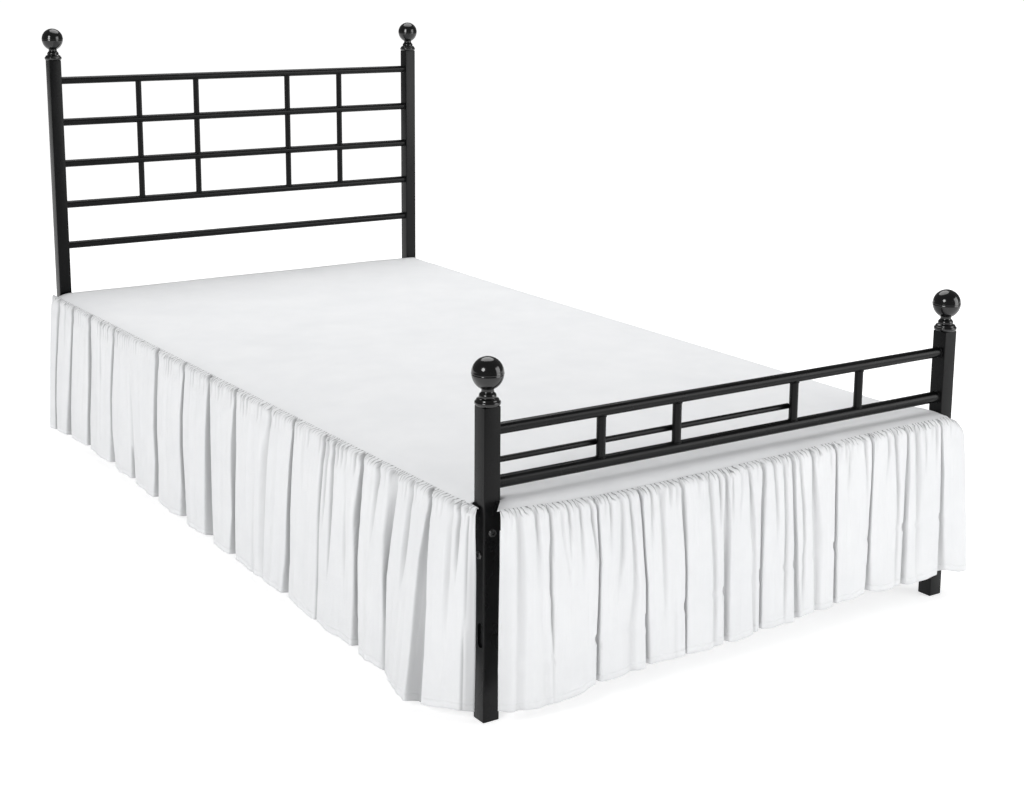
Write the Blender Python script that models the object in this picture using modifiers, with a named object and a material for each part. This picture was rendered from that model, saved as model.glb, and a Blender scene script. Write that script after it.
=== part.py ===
"""A gathered bed skirt lying on the plain metal twin bed that it dresses.

Metres, +Z up.  X runs across the bed, +Y runs towards the headboard, and the
floor is z = 0.  The origin is on the floor at the middle of the whole thing.
The skirt is a deck panel with a gathered ruffle sewn to each side and to the
foot.  The bed is posts, finials, bars, spindles, rails and slats.
"""
import math
from collections import namedtuple

import bmesh
import bpy
import numpy as np
from mathutils import Vector

# ---------------------------------------------------------------- bed sizes
GAP = 0.0003                 # air left between two pieces that touch
BED_WIDTH = 1.020            # between the middles of the left and right posts
BED_LENGTH = 1.980           # between the middles of the foot and head posts
BED_MIDDLE_Y = 0.019         # the foot ruffle stands out, so the posts sit this far to the head
POST = 0.030                 # square post, side to side
POST_BEVEL = 0.0015
FOOT_POST_TOP = 0.518
HEAD_POST_TOP = 0.953

FOOT_TOP_BAR_Z = 0.478
FOOT_TOP_BAR_R = 0.0095
FOOT_LOW_BAR_Z = 0.392
FOOT_LOW_BAR_R = 0.0105
HEAD_TOP_BAR_Z = 0.902
HEAD_BAR_PITCH = 0.104       # from one head bar down to the next
HEAD_BAR_COUNT = 5
HEAD_BAR_R = 0.0092
SPINDLED_HEAD_BARS = 4       # the spindles run from the top bar to this one
SPINDLE_PLACES = (-0.290, -0.132, 0.132, 0.290)
FOOT_SPINDLE_R = 0.0078
HEAD_SPINDLE_R = 0.0075
BAR_SIDES = 16
STOP_BAR_Z = 0.423
STOP_BAR_R = 0.0050
STOP_BAR_END = 2             # the stop bar ends behind this spindle, counted from 0

RAIL_OUTER_X = 0.500         # outer face of the side rails' angle iron
RAIL_FLANGE = 0.065
RAIL_HEIGHT = 0.040
RAIL_THICKNESS = 0.003
RAIL_TOP = 0.3450
END_RAIL_DEPTH = 0.020
END_RAIL_HEIGHT = 0.030
SLAT_COUNT = 9
SLAT_WIDTH = 0.060
SLAT_THICKNESS = 0.0194
SLAT_REACH = 0.444           # half of a slat's length
SLAT_SPAN = 1.860            # between the middles of the first and last slats

BOLT_R = 0.0058
BOLT_HEIGHT = 0.0026
BOLT_SIDES = 12
BOLT_DOME = 0.55             # the top of a bolt head, as a share of its foot
FACE_BOLT_Z = 0.316          # on the foot face of each foot post
SIDE_BOLT_Z = 0.278          # on the outer face of each foot post
SLOT_Z = 0.1455              # middle of the hook slot in that outer face
SLOT_HEIGHT = 0.041
SLOT_WIDTH = 0.008
SLOT_DEPTH = 0.003

# A finial's outline: radius and height above the post's top, from the ball down.
BALL_R = 0.0257
BALL_Z = 0.0520
BALL_STEPS = 9
NECK = (
    (0.0102, 0.0262), (0.0100, 0.0222), (0.0126, 0.0192), (0.0141, 0.0155),
    (0.0141, 0.0128), (0.0184, 0.0098), (0.0208, 0.0062), (0.0208, 0.0032),
    (0.0188, GAP),
)
FINIAL_STEPS = 16

# ------------------------------------------------------------- skirt sizes
CLOTH = 0.002                # thickness of the cloth
DECK_TOP = 0.367             # upper side of the deck panel
SEAM_X = 0.535               # the side seams, from the bed's middle
SEAM_FOOT_Y = 1.030          # the foot seam, from the middle of the posts
DECK_HEAD_Y = 0.966          # head edge of the deck, from the middle of the posts
SIDE_SHOULDER = 0.035        # how far inside the left seam the deck starts to fall
FOOT_SHOULDER = 0.035
ROUND_FALL = 2.2             # a shoulder that bends over softly
STRAIGHT_FALL = 1.15         # a shoulder that slopes nearly straight
LEFT_NOTCH = (-0.490, -0.970)            # inner corner of the notch round the foot left post
RIGHT_CREASES = (0.449, 0.475, 0.513)    # columns of the deck along its right shoulder
FLAP_FROM = -1.007           # a flap of the deck runs out past the post from here
FLAP_REACH = 0.025           # and this far towards -X at the foot seam
RIGHT_HOLE = ((0.493, -1.007), (0.527, -0.967))  # the hole round the foot right post
RIGHT_SLIT_Y = -0.973        # the hole is open towards +X from here to its head edge
CORNER_R = 0.030             # rounded foot right corner of the deck
ROUNDED_FROM = 0.023         # the deck is rounded from this far off the corner's middle
CORNER_COLUMNS = 6           # of the ruffle, round that corner
CORNER_SLACK = 0.0004        # more air there, where flat facets meet round a bend

FOOT_RUFFLE_START = -0.514
LEFT_RUFFLE_ENDS = (0.998, -0.990)
FOOT_RUFFLE_PAST = 0.026      # how far the foot ruffle runs past the rounded corner
RIGHT_RUFFLE_ENDS = (-0.966, 0.998)

# Along each seam: its height, the hem's height, how far the cloth stands out
# below the seam, how much further out the hem hangs, how soon it gets there
# (less is sooner) and how far the seam itself turns in.
Edge = namedtuple("Edge", "at seam_z hem_z lead flare bow inset", defaults=(0.0,))
LEFT_LINE = (
    Edge(1.000, 0.352, 0.015, 0.004, 0.022, 0.55),
    Edge(0.940, 0.352, 0.020, 0.009, 0.013, 0.80),
    Edge(0.860, 0.352, 0.021, 0.011, 0.001, 1.00),
    Edge(0.750, 0.352, 0.021, 0.011, -0.006, 1.00),
    Edge(0.440, 0.352, 0.020, 0.012, -0.003, 1.00),
    Edge(0.280, 0.352, 0.020, 0.012, 0.006, 1.00),
    Edge(0.000, 0.352, 0.019, 0.012, 0.011, 1.00),
    Edge(-0.380, 0.352, 0.018, 0.013, 0.016, 1.00),
    Edge(-0.660, 0.352, 0.017, 0.014, 0.022, 1.00),
    Edge(-0.790, 0.352, 0.016, 0.014, 0.025, 1.00),
    Edge(-0.895, 0.352, 0.016, 0.015, 0.052, 1.10),
    Edge(-0.920, 0.352, 0.017, 0.015, 0.032, 1.00, 0.000),
    Edge(-0.955, 0.351, 0.018, 0.014, 0.018, 1.00, 0.002),
    Edge(-0.972, 0.349, 0.018, 0.012, 0.010, 1.00, 0.006),
    Edge(-0.990, 0.348, 0.019, 0.008, 0.004, 1.00, 0.006),
)
FOOT_LINE = (
    Edge(-0.515, 0.349, 0.029, 0.008, 0.000, 1.00),
    Edge(-0.410, 0.346, 0.025, 0.012, 0.001, 1.00),
    Edge(-0.330, 0.345, 0.038, 0.012, 0.001, 1.00),
    Edge(-0.230, 0.345, 0.045, 0.012, 0.001, 1.00),
    Edge(-0.060, 0.347, 0.045, 0.012, 0.001, 1.00),
    Edge(0.020, 0.348, 0.051, 0.012, 0.001, 1.00),
    Edge(0.110, 0.350, 0.053, 0.012, 0.001, 1.00),
    Edge(0.200, 0.353, 0.061, 0.012, 0.001, 1.00),
    Edge(0.280, 0.356, 0.068, 0.012, 0.001, 1.00),
    Edge(0.370, 0.358, 0.062, 0.012, 0.002, 1.00),
    Edge(0.480, 0.359, 0.068, 0.011, 0.004, 1.00),
    Edge(0.505, 0.357, 0.064, 0.009, 0.007, 0.80),
    Edge(0.530, 0.349, 0.060, 0.006, 0.013, 0.50),
    Edge(0.590, 0.342, 0.056, 0.006, 0.015, 0.50),
)
RIGHT_LINE = (
    Edge(-0.966, 0.341, 0.052, 0.006, 0.018, 0.60),
    Edge(-0.880, 0.337, 0.047, 0.009, 0.024, 0.80),
    Edge(-0.700, 0.338, 0.040, 0.011, 0.030, 1.00),
    Edge(-0.300, 0.342, 0.030, 0.012, 0.032, 1.00),
    Edge(0.150, 0.345, 0.024, 0.012, 0.054, 1.00),
    Edge(0.600, 0.348, 0.024, 0.012, 0.028, 1.00),
    Edge(1.000, 0.350, 0.022, 0.006, 0.022, 0.70),
)

# How far inside the right seam the deck starts to fall, by place along it.
Shoulder = namedtuple("Shoulder", "at width")
RIGHT_SHOULDER = (
    Shoulder(0.966, 0.024),
    Shoulder(0.420, 0.048),
    Shoulder(-0.060, 0.060),
    Shoulder(-0.880, 0.082),
    Shoulder(-1.030, 0.086),
)

# One row for each fold: the place of its valley at the seam, half way down
# and at the hem, how deep it is at those heights, and half its width.
Fold = namedtuple("Fold", "top mid hem deep_top deep_mid deep_hem half")
LEFT_FOLDS = (
    Fold(0.933, 0.948, 0.947, 0.005, 0.012, 0.013, 0.009),
    Fold(0.826, 0.854, 0.868, 0.006, 0.014, 0.017, 0.010),
    Fold(0.704, 0.723, 0.750, 0.006, 0.016, 0.017, 0.010),
    Fold(0.543, 0.576, 0.580, 0.006, 0.009, 0.018, 0.010),
    Fold(0.450, 0.444, 0.437, 0.001, 0.001, 0.017, 0.010),
    Fold(0.277, 0.288, 0.283, 0.006, 0.016, 0.018, 0.012),
    Fold(0.127, 0.137, 0.121, 0.005, 0.015, 0.018, 0.010),
    Fold(-0.004, -0.006, -0.023, 0.005, 0.019, 0.020, 0.016),
    Fold(-0.133, -0.134, -0.140, 0.006, 0.016, 0.018, 0.012),
    Fold(-0.290, -0.272, -0.285, 0.004, 0.006, 0.005, 0.020),
    Fold(-0.391, -0.384, -0.381, 0.006, 0.017, 0.019, 0.010),
    Fold(-0.515, -0.513, -0.524, 0.006, 0.010, 0.009, 0.006),
    Fold(-0.553, -0.558, -0.560, 0.005, 0.005, 0.001, 0.007),
    Fold(-0.656, -0.655, -0.673, 0.006, 0.020, 0.020, 0.011),
    Fold(-0.766, -0.758, -0.775, 0.006, 0.016, 0.003, 0.011),
    Fold(-0.884, -0.893, -0.908, 0.006, 0.013, 0.012, 0.015),
    Fold(-0.946, -0.950, -0.950, 0.004, 0.004, 0.002, 0.008),
    Fold(-0.993, -0.993, -0.993, 0.003, 0.007, 0.008, 0.011),
)
FOOT_FOLDS = (
    Fold(-0.518, -0.518, -0.518, 0.003, 0.007, 0.008, 0.015),
    Fold(-0.480, -0.479, -0.482, 0.005, 0.008, 0.005, 0.009),
    Fold(-0.449, -0.441, -0.432, 0.005, 0.006, 0.004, 0.011),
    Fold(-0.423, -0.422, -0.420, 0.006, 0.013, 0.008, 0.006),
    Fold(-0.366, -0.356, -0.356, 0.005, 0.003, 0.001, 0.009),
    Fold(-0.331, -0.328, -0.329, 0.006, 0.016, 0.016, 0.006),
    Fold(-0.265, -0.255, -0.262, 0.004, 0.006, 0.004, 0.011),
    Fold(-0.243, -0.231, -0.226, 0.006, 0.016, 0.016, 0.006),
    Fold(-0.203, -0.194, -0.192, 0.005, 0.004, 0.001, 0.010),
    Fold(-0.156, -0.147, -0.144, 0.006, 0.016, 0.014, 0.006),
    Fold(-0.096, -0.086, -0.085, 0.005, 0.004, 0.001, 0.009),
    Fold(-0.061, -0.059, -0.056, 0.006, 0.015, 0.014, 0.009),
    Fold(-0.009, 0.001, 0.005, 0.006, 0.009, 0.005, 0.008),
    Fold(0.022, 0.020, 0.022, 0.006, 0.015, 0.015, 0.006),
    Fold(0.068, 0.076, 0.076, 0.005, 0.006, 0.001, 0.008),
    Fold(0.090, 0.100, 0.108, 0.006, 0.014, 0.012, 0.009),
    Fold(0.138, 0.150, 0.155, 0.005, 0.007, 0.005, 0.011),
    Fold(0.191, 0.196, 0.200, 0.006, 0.016, 0.016, 0.006),
    Fold(0.282, 0.280, 0.281, 0.006, 0.016, 0.015, 0.006),
    Fold(0.341, 0.349, 0.348, 0.005, 0.003, 0.001, 0.009),
    Fold(0.371, 0.371, 0.371, 0.006, 0.013, 0.013, 0.008),
    Fold(0.395, 0.401, 0.403, 0.005, 0.004, 0.001, 0.009),
    Fold(0.460, 0.467, 0.470, 0.006, 0.013, 0.012, 0.010),
    Fold(0.537, 0.541, 0.545, 0.003, 0.006, 0.008, 0.012),
)
RIGHT_FOLDS = (
    Fold(-0.930, -0.924, -0.920, 0.004, 0.010, 0.012, 0.010),
    Fold(-0.815, -0.822, -0.830, 0.005, 0.014, 0.017, 0.009),
    Fold(-0.660, -0.650, -0.646, 0.005, 0.015, 0.018, 0.010),
    Fold(-0.540, -0.548, -0.560, 0.004, 0.008, 0.010, 0.014),
    Fold(-0.398, -0.390, -0.386, 0.006, 0.016, 0.019, 0.009),
    Fold(-0.270, -0.262, -0.255, 0.005, 0.014, 0.016, 0.010),
    Fold(-0.118, -0.126, -0.130, 0.004, 0.010, 0.014, 0.013),
    Fold(0.020, 0.026, 0.034, 0.006, 0.016, 0.019, 0.009),
    Fold(0.170, 0.164, 0.160, 0.005, 0.013, 0.016, 0.010),
    Fold(0.300, 0.310, 0.315, 0.005, 0.015, 0.018, 0.009),
    Fold(0.462, 0.455, 0.450, 0.004, 0.009, 0.012, 0.014),
    Fold(0.590, 0.598, 0.605, 0.006, 0.016, 0.019, 0.009),
    Fold(0.742, 0.735, 0.730, 0.005, 0.014, 0.017, 0.010),
    Fold(0.880, 0.886, 0.890, 0.004, 0.011, 0.014, 0.010),
)

LOBE_SHARE = 0.10            # how far the cloth between two valleys swells, for its width
LOBE_MOST = 0.010
LOBE_AT_TOP = 0.25           # share of that swelling just under the seam
SOFT_HALF = 0.0105           # folds wider than this need fewer columns
SHARP_COLUMNS = (-1.5, -0.65, 0.0, 0.65, 1.5)
SOFT_COLUMNS = (-1.2, 0.0, 1.2)
WIDEST_COLUMN = 0.045
# The upper rows of a ruffle: the share of its lead out of the seam, and how far below it.
SHOULDER_ROWS = ((0.0, 0.0), (0.35, 0.0), (0.78, 0.0045), (1.0, 0.0170))
LOWER_ROWS = (0.16, 0.36, 0.60, 0.80, 1.0)       # shares of the drop below the shoulder

COLLECTION = "bed_skirt"
CUTTERS = "cutters"


# ------------------------------------------------------------------ helpers
def clear_scene():
    for old in list(bpy.data.objects):
        bpy.data.objects.remove(old, do_unlink=True)


def collection(name):
    made = bpy.data.collections.new(name)
    bpy.context.scene.collection.children.link(made)
    return made


def material(name, color, roughness, metallic=0.0, sheen=0.0):
    made = bpy.data.materials.new(name)
    made.use_nodes = True
    shader = made.node_tree.nodes["Principled BSDF"]
    shader.inputs["Base Color"].default_value = (*color, 1.0)
    shader.inputs["Roughness"].default_value = roughness
    shader.inputs["Metallic"].default_value = metallic
    shader.inputs["Sheen Weight"].default_value = sheen
    return made


def add_object(name, mesh, parts, finish=None, place=(0.0, 0.0, 0.0)):
    made = bpy.data.objects.new(name, mesh)
    made.location = place
    if finish is not None and not mesh.materials:
        mesh.materials.append(finish)
    parts.objects.link(made)
    return made


def mesh_from(bm, name, smooth_angle=None):
    mesh = bpy.data.meshes.new(name)
    bm.to_mesh(mesh)
    bm.free()
    if smooth_angle is not None:
        mesh.shade_smooth()
        mesh.set_sharp_from_angle(angle=math.radians(smooth_angle))
    return mesh


def add_box(name, low, high, parts, finish, bevel=0.0):
    """A box between two corners, its origin at its middle."""
    low, high = Vector(low), Vector(high)
    bm = bmesh.new()
    bmesh.ops.create_cube(bm, size=1.0)
    bmesh.ops.scale(bm, vec=high - low, verts=bm.verts)
    made = add_object(name, mesh_from(bm, name), parts, finish, (low + high) / 2)
    if bevel:
        edge = made.modifiers.new("soft edges", "BEVEL")
        edge.width = bevel
        edge.segments = 2
    return made


def rod_mesh(name, length, radius, sides=BAR_SIDES):
    """A round rod along Z from 0 to its length."""
    bm = bmesh.new()
    bmesh.ops.create_cone(bm, cap_ends=True, segments=sides, radius1=radius, radius2=radius, depth=length)
    bmesh.ops.translate(bm, vec=(0.0, 0.0, length / 2), verts=bm.verts)
    return mesh_from(bm, name, smooth_angle=40)


def add_cross_bar(name, start_x, end_x, y, z, radius, parts, finish=None):
    """A round bar across the bed, from start_x to end_x."""
    mesh = rod_mesh(name, end_x - start_x, radius)
    made = add_object(name, mesh, parts, finish, (start_x, y, z))
    made.rotation_euler = (0.0, math.radians(90), 0.0)
    return made


def smooth_step(value):
    value = min(max(value, 0.0), 1.0)
    return value * value * (3.0 - 2.0 * value)


# --------------------------------------------------------------- metal bed
FOOT_Y = BED_MIDDLE_Y - BED_LENGTH / 2
HEAD_Y = BED_MIDDLE_Y + BED_LENGTH / 2
POST_X = BED_WIDTH / 2
INNER_X = POST_X - POST / 2 - GAP


def add_posts(parts, black):
    posts = {}
    for side, x in (("left", -POST_X), ("right", POST_X)):
        for end, y, top in (("foot", FOOT_Y, FOOT_POST_TOP), ("head", HEAD_Y, HEAD_POST_TOP)):
            low = (x - POST / 2, y - POST / 2, 0.0)
            high = (x + POST / 2, y + POST / 2, top)
            name = f"{end}_post_{side}"
            posts[name] = add_box(name, low, high, parts, black, POST_BEVEL)
    return posts


def cut_hook_slots(posts, cutters):
    """A shallow round-ended slot in the outer face of each foot post."""
    for side, sign in (("left", -1), ("right", 1)):
        bm = bmesh.new()
        bmesh.ops.create_cube(bm, size=1.0)
        size = (2 * SLOT_DEPTH, SLOT_WIDTH, SLOT_HEIGHT)
        bmesh.ops.scale(bm, vec=size, verts=bm.verts)
        along_x = [e for e in bm.edges if abs((e.verts[0].co - e.verts[1].co).x) > SLOT_DEPTH]
        bmesh.ops.bevel(bm, geom=along_x, offset=SLOT_WIDTH * 0.49, segments=4, profile=0.5, affect="EDGES")
        name = f"slot_cutter_{side}"
        place = (sign * (POST_X + POST / 2), FOOT_Y, SLOT_Z)
        cutter = add_object(name, mesh_from(bm, name), cutters, None, place)
        cut = posts[f"foot_post_{side}"].modifiers.new("hook slot", "BOOLEAN")
        cut.object = cutter


def finial_mesh(black):
    """The turned ball and neck, as a half outline spun about Z."""
    outline = []
    for step in range(BALL_STEPS):
        turn = math.radians(90) - step * math.radians(157) / (BALL_STEPS - 1)
        outline.append((BALL_R * math.cos(turn), BALL_Z + BALL_R * math.sin(turn)))
    outline[0] = (0.0, BALL_Z + BALL_R)
    outline += list(NECK)
    outline.append((0.0, GAP))
    bm = bmesh.new()
    points = [bm.verts.new((radius, 0.0, height)) for radius, height in outline]
    for upper, lower in zip(points, points[1:]):
        bm.edges.new((upper, lower))
    mesh = mesh_from(bm, "finial")
    mesh.materials.append(black)
    return mesh


def add_finials(parts, black):
    mesh = finial_mesh(black)
    for side, x in (("left", -POST_X), ("right", POST_X)):
        for end, y, top in (("foot", FOOT_Y, FOOT_POST_TOP), ("head", HEAD_Y, HEAD_POST_TOP)):
            made = add_object(f"{end}_finial_{side}", mesh, parts, black, (x, y, top))
            spin = made.modifiers.new("turned", "SCREW")
            spin.steps = FINIAL_STEPS
            spin.render_steps = FINIAL_STEPS
            spin.use_merge_vertices = True
            spin.merge_threshold = 0.00001
            spin.use_smooth_shade = True


def bar_pair(name, y, z, radius, parts, cutters, black):
    """A bar between the posts, and the slightly larger cutter that copes spindles to it."""
    add_cross_bar(name, -INNER_X, INNER_X, y, z, radius, parts, black)
    clearance = GAP / math.cos(math.pi / BAR_SIDES)
    return add_cross_bar(f"{name}_cutter", -INNER_X, INNER_X, y, z, radius + clearance, cutters)


def add_spindle(name, x, y, low, high, radius, parts, black):
    """A spindle between two bars, its ends coped to them by their cutters."""
    length = high.location.z - low.location.z
    made = add_object(name, rod_mesh(name, length, radius), parts, black, (x, y, low.location.z))
    for label, cutter in (("lower cope", low), ("upper cope", high)):
        cope = made.modifiers.new(label, "BOOLEAN")
        cope.object = cutter


def add_headboard(parts, cutters, black):
    bars = []
    for index in range(HEAD_BAR_COUNT):
        z = HEAD_TOP_BAR_Z - index * HEAD_BAR_PITCH
        bars.append(bar_pair(f"head_bar_{index + 1}", HEAD_Y, z, HEAD_BAR_R, parts, cutters, black))
    for place, x in enumerate(SPINDLE_PLACES, start=1):
        for row in range(SPINDLED_HEAD_BARS - 1):
            name = f"head_spindle_{place}_{row + 1}"
            add_spindle(name, x, HEAD_Y, bars[row + 1], bars[row], HEAD_SPINDLE_R, parts, black)


def add_footboard(parts, cutters, black):
    top = bar_pair("foot_top_bar", FOOT_Y, FOOT_TOP_BAR_Z, FOOT_TOP_BAR_R, parts, cutters, black)
    low = bar_pair("foot_low_bar", FOOT_Y, FOOT_LOW_BAR_Z, FOOT_LOW_BAR_R, parts, cutters, black)
    for place, x in enumerate(SPINDLE_PLACES, start=1):
        add_spindle(f"foot_spindle_{place}", x, FOOT_Y, low, top, FOOT_SPINDLE_R, parts, black)
    behind = FOOT_Y + FOOT_SPINDLE_R + STOP_BAR_R + GAP
    end_x = SPINDLE_PLACES[STOP_BAR_END]
    add_cross_bar("stop_bar", -INNER_X, end_x, behind, STOP_BAR_Z, STOP_BAR_R, parts, black)


def angle_outline(sign):
    """The corners of a side rail's angle section, about its outer top corner."""
    inner = sign * RAIL_FLANGE
    web = sign * RAIL_THICKNESS
    return (
        (0.0, 0.0), (inner, 0.0), (inner, -RAIL_THICKNESS),
        (web, -RAIL_THICKNESS), (web, -RAIL_HEIGHT), (0.0, -RAIL_HEIGHT),
    )


def add_side_rail(name, sign, parts, black):
    """Angle iron between a foot post and a head post, flat flange uppermost."""
    curve = bpy.data.curves.new(name, "CURVE")
    curve.dimensions = "2D"
    curve.fill_mode = "BOTH"
    curve.extrude = BED_LENGTH / 2 - POST / 2 - GAP
    corners = angle_outline(-sign)
    spline = curve.splines.new("POLY")
    spline.points.add(len(corners) - 1)
    spline.use_cyclic_u = True
    for point, (x, z) in zip(spline.points, corners):
        point.co = (x, z, 0.0, 1.0)
    curve.materials.append(black)
    made = bpy.data.objects.new(name, curve)
    made.location = (sign * RAIL_OUTER_X, BED_MIDDLE_Y, RAIL_TOP)
    made.rotation_euler = (math.radians(90), 0.0, 0.0)
    parts.objects.link(made)


def add_rails_and_slats(parts, black):
    add_side_rail("side_rail_left", -1, parts, black)
    add_side_rail("side_rail_right", 1, parts, black)
    for end, y in (("foot", FOOT_Y), ("head", HEAD_Y)):
        low = (-INNER_X, y - END_RAIL_DEPTH / 2, RAIL_TOP - END_RAIL_HEIGHT)
        high = (INNER_X, y + END_RAIL_DEPTH / 2, RAIL_TOP)
        add_box(f"end_rail_{end}", low, high, parts, black)
    pitch = SLAT_SPAN / (SLAT_COUNT - 1)
    bottom = RAIL_TOP + GAP
    for index in range(SLAT_COUNT):
        y = BED_MIDDLE_Y - SLAT_SPAN / 2 + index * pitch
        low = (-SLAT_REACH, y - SLAT_WIDTH / 2, bottom)
        high = (SLAT_REACH, y + SLAT_WIDTH / 2, bottom + SLAT_THICKNESS)
        add_box(f"slat_{index + 1}", low, high, parts, black)


def bolt_mesh(black):
    """A low domed bolt head standing on z = 0."""
    bm = bmesh.new()
    bmesh.ops.create_cone(
        bm, cap_ends=True, segments=BOLT_SIDES, depth=BOLT_HEIGHT,
        radius1=BOLT_R, radius2=BOLT_R * BOLT_DOME,
    )
    bmesh.ops.translate(bm, vec=(0.0, 0.0, BOLT_HEIGHT / 2), verts=bm.verts)
    mesh = mesh_from(bm, "bolt_head", smooth_angle=60)
    mesh.materials.append(black)
    return mesh


def add_bolts(parts, black):
    mesh = bolt_mesh(black)
    stand = POST / 2 + GAP
    for side, sign in (("left", -1), ("right", 1)):
        x = sign * POST_X
        face = add_object(f"face_bolt_{side}", mesh, parts, black, (x, FOOT_Y - stand, FACE_BOLT_Z))
        face.rotation_euler = (math.radians(90), 0.0, 0.0)
        flank = add_object(f"side_bolt_{side}", mesh, parts, black, (x + sign * stand, FOOT_Y, SIDE_BOLT_Z))
        flank.rotation_euler = (0.0, sign * math.radians(90), 0.0)


# ------------------------------------------------------------------- cloth
def along(line, field, at):
    """One column of a seam table, read between its rows."""
    rows = sorted(line)
    return float(np.interp(at, [row.at for row in rows], [getattr(row, field) for row in rows]))


def side_path(sign):
    """The straight seam of one long side: a place along Y gives a point and an outward way."""
    def path(at):
        inset = along(LEFT_LINE, "inset", at) if sign < 0 else 0.0
        return Vector((sign * (SEAM_X - inset), BED_MIDDLE_Y + at, 0.0)), Vector((sign, 0.0, 0.0))
    return path


def foot_path(at):
    """The foot seam: across the foot, then round the foot right corner."""
    start_of_arc = SEAM_X - CORNER_R
    middle = Vector((start_of_arc, BED_MIDDLE_Y - SEAM_FOOT_Y + CORNER_R, 0.0))
    past = at - start_of_arc
    turn = min(max(past / CORNER_R, 0.0), math.pi / 2)
    out = Vector((math.sin(turn), -math.cos(turn), 0.0))
    point = middle + (CORNER_R + CORNER_SLACK * smooth_step(past / CORNER_SLACK / 10)) * out
    point.x += min(past, 0.0)
    point.y += max(past - CORNER_R * math.pi / 2, 0.0)
    return point, out


def fold_places(folds, level):
    """Where the valleys lie at a level, 0 at the seam and 1 at the hem."""
    return [float(np.interp(level, (0.0, 0.5, 1.0), (f.top, f.mid, f.hem))) for f in folds]


def fold_depth(fold, level):
    deep = np.interp(level, (0.0, 0.12, 0.5, 1.0), (0.0, fold.deep_top, fold.deep_mid, fold.deep_hem))
    return float(deep)


def swelling(folds, ends, at):
    """How far the cloth swells out between the two valleys on either side of a place."""
    marks = sorted({fold.mid for fold in folds} | set(ends))
    right = int(np.searchsorted(marks, at))
    right = min(max(right, 1), len(marks) - 1)
    width = marks[right] - marks[right - 1]
    share = (at - marks[right - 1]) / width
    most = min(LOBE_SHARE * width, LOBE_MOST)
    return most * max(4.0 * share * (1.0 - share), 0.0) ** 0.6


def ruffle_point(at, out, down, level, folds, line, ends, path):
    """A point of the ruffle's outer face, for a column, a row's offsets and its level."""
    places = fold_places(folds, level)
    middles = [fold.mid for fold in folds]
    order = np.argsort(middles)
    shifts = [places[i] - middles[i] for i in order]
    where = at + float(np.interp(at, [middles[i] for i in order], shifts)) * smooth_step(level / 0.1)
    point, outward = path(where)
    seam_z = along(line, "seam_z", where)
    hem_z = along(line, "hem_z", where)
    shoulder_down = SHOULDER_ROWS[-1][1]
    drop = seam_z - shoulder_down - hem_z
    valley = sum(fold_depth(f, level) * math.exp(-((at - f.mid) / f.half) ** 2) for f in folds)
    grown = LOBE_AT_TOP + (1.0 - LOBE_AT_TOP) * level
    swell = swelling(folds, ends, at) * grown * smooth_step(level / 0.1)
    lead = along(line, "lead", where) * out
    flare = along(line, "flare", where) * level ** along(line, "bow", where)
    height = seam_z - down - level * drop
    return point + outward * (GAP + lead + swell + flare - valley) + Vector((0.0, 0.0, height))


def ruffle_columns(folds, ends, bends):
    """Columns that keep to the valleys and bends, with the rest of the cloth shared evenly."""
    low, high = min(ends), max(ends)
    marks = {low, high, *bends}
    for fold in folds:
        steps = SOFT_COLUMNS if fold.half > SOFT_HALF else SHARP_COLUMNS
        marks.update(fold.mid + step * fold.half for step in steps)
    least = 0.0025
    kept = [low]
    for mark in sorted(m for m in marks if low < m < high):
        if mark - kept[-1] > least and high - mark > least:
            kept.append(mark)
    kept.append(high)
    columns = []
    for left, right in zip(kept, kept[1:]):
        parts = max(1, math.ceil((right - left) / WIDEST_COLUMN))
        columns += [left + (right - left) * step / parts for step in range(parts)]
    return columns + [high]


def grid_mesh(name, columns, rows, place, finish, keep=None):
    """An open sheet from a plain grid, each crossing moved to place(column, row)."""
    bm = bmesh.new()
    bmesh.ops.create_grid(bm, x_segments=len(columns) - 1, y_segments=len(rows) - 1, size=1.0)
    for vert in bm.verts:
        column = columns[round((vert.co.x + 1.0) / 2.0 * (len(columns) - 1))]
        row = rows[round((vert.co.y + 1.0) / 2.0 * (len(rows) - 1))]
        vert.co = place(column, row)
    if keep is not None:
        gone = [face for face in bm.faces if not keep(face.calc_center_median())]
        bmesh.ops.delete(bm, geom=gone, context="FACES")
    mesh = mesh_from(bm, name)
    mesh.shade_smooth()
    mesh.materials.append(finish)
    return mesh


def thicken(sheet):
    """Cloth thickness, grown inwards from the face that shows."""
    solid = sheet.modifiers.new("cloth thickness", "SOLIDIFY")
    solid.thickness = CLOTH
    solid.offset = -1.0


def face_outwards(mesh, outward):
    """Turn the whole sheet over if its faces look away from outward."""
    total = sum((Vector(face.normal) * face.area for face in mesh.polygons), Vector())
    if total.dot(outward) < 0.0:
        mesh.flip_normals()


def add_ruffle(name, folds, line, ends, path, outward, parts, white, bends=()):
    shoulder = [(out, down, 0.0) for out, down in SHOULDER_ROWS]
    rows = shoulder + [(SHOULDER_ROWS[-1][0], SHOULDER_ROWS[-1][1], level) for level in LOWER_ROWS]

    def place(at, row):
        out, down, level = row
        return ruffle_point(at, out, down, level, folds, line, ends, path)

    mesh = grid_mesh(name, ruffle_columns(folds, ends, bends), rows, place, white)
    face_outwards(mesh, outward)
    thicken(add_object(name, mesh, parts))


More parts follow.
